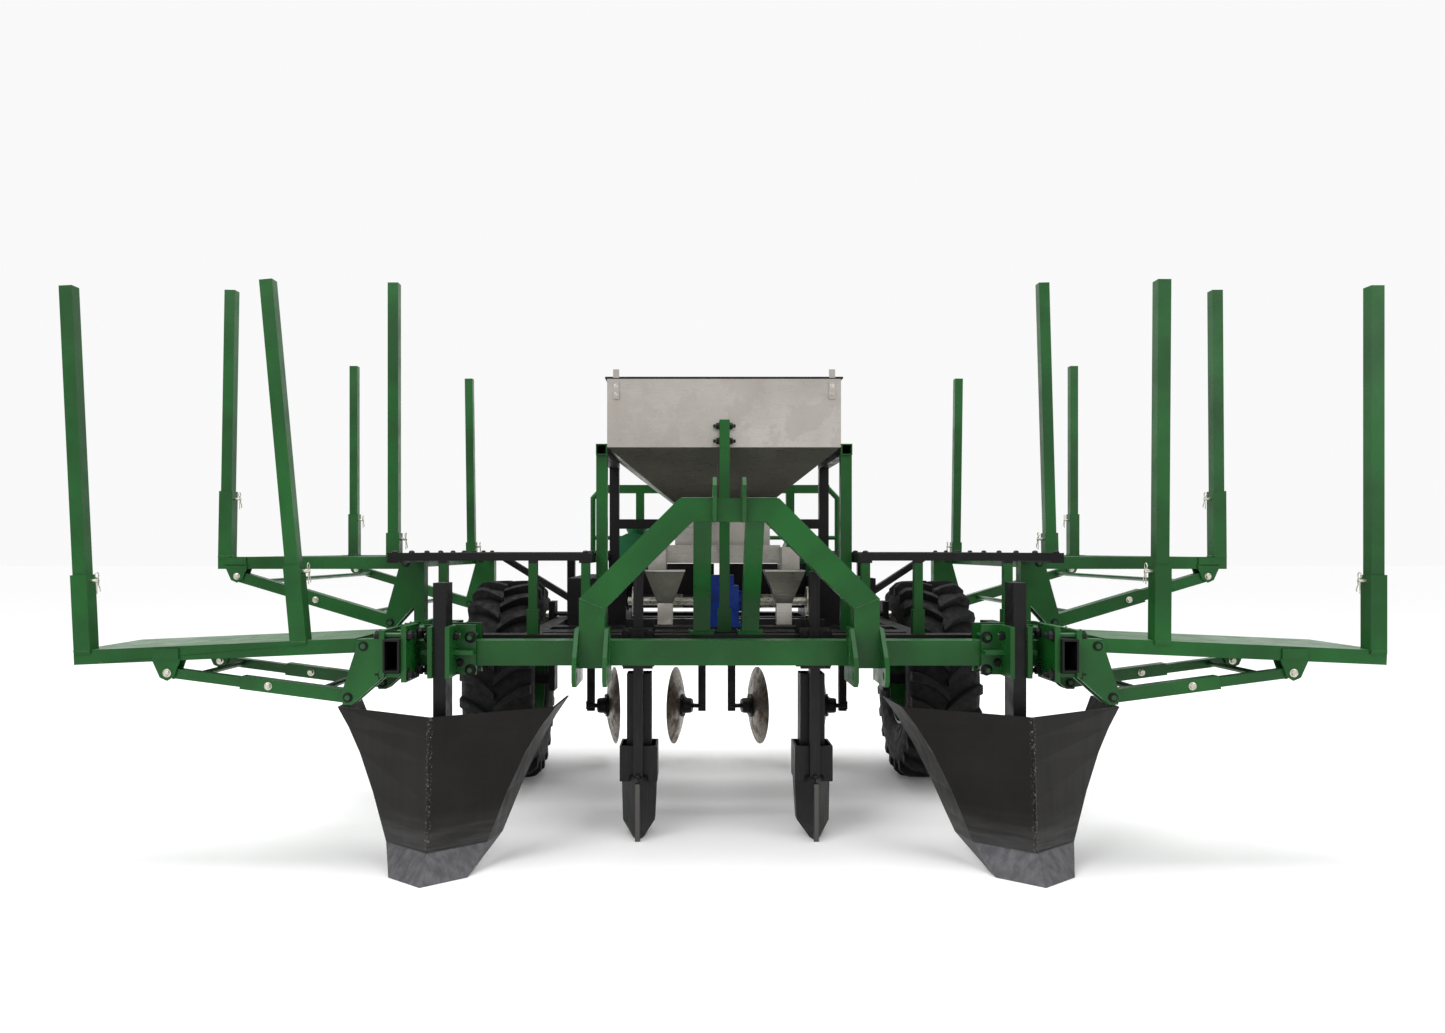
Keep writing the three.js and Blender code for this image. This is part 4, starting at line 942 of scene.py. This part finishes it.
def platform_bolts():
    """Round bolt heads along the platforms' edges."""
    mesh = bmesh.new()
    slats = 9
    half_slat = 0.021
    first = FRONT_Y + 0.260 + half_slat
    last = FRONT_Y + 2.086 - half_slat
    dome = [(0, 0), (0.011, 0), (0.0105, 0.004), (0.007, 0.0075), (0, 0.009)]
    for side in SIDES.values():
        for x in (0.486, 1.148):
            for i in range(slats):
                y = first + (last - first) * i / (slats - 1)
                revolve(mesh, dome, (side * x, y, PLATFORM_TOP), (0, 0, 1), 20)
    piece("platform_bolt_heads", mesh, "frame", BLACK_PAINT)


# ---- welds ----

def ridger_welds():
    """The bead down each ridger's leading edge and the seam between its body and its share."""
    mesh = bmesh.new()
    seam_z = SHARE_SEAM + 0.0005
    for side in SIDES.values():
        x = side * ROW_X
        weld(mesh, (x, FRONT_Y - 0.2605, 0.082), (x, FRONT_Y - 0.2385, 0.350), 0.0030, 3)
        for way in (-1, 1):
            seam_start = (x + way * 0.002, FRONT_Y - 0.2612, seam_z)
            seam_end = (x + way * 0.153, FRONT_Y - 0.1412, seam_z)
            weld(mesh, seam_start, seam_end, 0.0022, 7)
    piece("ridger_weld_beads", mesh, "frame", RIDGER)


def frame_welds():
    """Fillets where the headstock's plates, braces and feet meet the beams."""
    mesh = bmesh.new()

    def mirrored_bead(start, end, width, seed):
        for side in SIDES.values():
            ends = [(side * x, FRONT_Y + y, z) for x, y, z in (start, end)]
            weld(mesh, *ends, width, seed)

    for x in (0.377, 0.483):
        mirrored_bead((x, -0.081, 0.612), (x, -0.081, 0.722), 0.0040, 11)
    for x in (0.040, 0.052):
        mirrored_bead((x, -0.0815, 1.064), (x, -0.0815, 1.128), 0.0035, 5)
    mirrored_bead((0.054, -0.0805, 1.1325), (0.150, -0.0795, 1.1325), 0.0020, 6)
    for x in (0.041, 0.125):
        mirrored_bead((x, 0.232, 0.6925), (x, 0.308, 0.6925), 0.0030, 13)
    mirrored_bead((0.470, -0.080, 0.818), (0.392, -0.080, 0.786), 0.0024, 17)
    piece("frame_weld_beads", mesh, "frame", GREEN)


def rack_welds(level, side_name):
    """Beads round the foot of each stake socket."""
    side = SIDES[side_name]
    mesh = bmesh.new()
    for key, (x, _) in STAKES[level].items():
        stake = f"{level}_stake_{key}_{side_name}"
        y = (low(stake).y + high(stake).y) / 2
        z = low(stake).z - 0.004
        half = 0.0240
        left, right = side * x - half, side * x + half
        corners = [(left, y - half, z), (right, y - half, z), (right, y + half, z), (left, y + half, z)]
        for i in range(4):
            weld(mesh, corners[i], corners[(i + 1) % 4], 0.0032, 20 + i)
    piece(f"{level}_socket_welds_{side_name}", mesh, f"{level}_rack_{side_name}", GREEN)


for side_key in SIDES:
    tyre(side_key)
    rim(side_key)
    for disc_row in ("inner", "outer"):
        cover_disc(disc_row, side_key)
    for rack_level in RACKS:
        rack_fasteners(rack_level, side_key)
        socket_clips(rack_level, side_key)
        rack_welds(rack_level, side_key)
        cheek_plates(rack_level, side_key)
clamp_bolts()
wheel_leg_bolts()
hose_post_bolts()
hopper_fittings()
platform_bolts()
ridger_welds()
frame_welds()


# ---- camera, floor and light ----

def camera():
    """A level wide-angle camera in front of the machine, a little to the left of its middle."""
    data = bpy.data.cameras.new("camera")
    data.sensor_width = 36.0
    data.lens = 25.98
    data.shift_x = 0.0225
    data.shift_y = 0.0232
    made = bpy.data.objects.new("camera", data)
    made.location = (-0.123, FRONT_Y - 3.338, 0.970)
    made.rotation_euler = (math.radians(90), 0, 0)
    bpy.context.scene.collection.objects.link(made)
    bpy.context.scene.camera = made


def floor():
    mesh = bmesh.new()
    reach, below_ground = 60.0, -0.001
    outline = [(-reach, -reach), (reach, -reach), (reach, reach), (-reach, reach)]
    mesh.faces.new([mesh.verts.new((x, y, below_ground)) for x, y in outline])
    data = bpy.data.meshes.new("floor")
    mesh.to_mesh(data)
    mesh.free()
    made = bpy.data.objects.new("floor", data)
    shader = Shader("pale_floor")
    shader.color((0.97, 0.97, 0.97))
    shader.roughness(0.9)
    shader.surface.inputs["Emission Color"].default_value = (1.0, 1.0, 1.0, 1.0)
    shader.surface.inputs["Emission Strength"].default_value = 0.05
    data.materials.append(shader.material)
    bpy.context.scene.collection.objects.link(made)


def area_light(name, at, target, size, power):
    data = bpy.data.lights.new(name, "AREA")
    data.shape = "RECTANGLE"
    data.size, data.size_y = size
    data.energy = power
    made = bpy.data.objects.new(name, data)
    made.location = at
    made.rotation_euler = (Vector(target) - Vector(at)).to_track_quat("-Z", "Y").to_euler()
    bpy.context.scene.collection.objects.link(made)


def studio():
    world = bpy.data.worlds.new("studio")
    bpy.context.scene.world = world
    world.use_nodes = True
    background = world.node_tree.nodes["Background"]
    background.inputs["Color"].default_value = (1.0, 1.0, 1.0, 1.0)
    background.inputs["Strength"].default_value = 0.95
    bpy.context.scene.view_settings.view_transform = "Standard"
    area_light("key", (-4.5, -6.0, 5.5), (0, -0.5, 0.8), (4.0, 3.0), 200)
    area_light("fill", (5.0, -5.0, 3.0), (0, 0, 0.8), (4.0, 3.0), 60)
    area_light("top", (0, 0.5, 6.5), (0, 0, 0), (6.0, 5.0), 340)


camera()
floor()
studio()
bpy.context.view_layer.update()
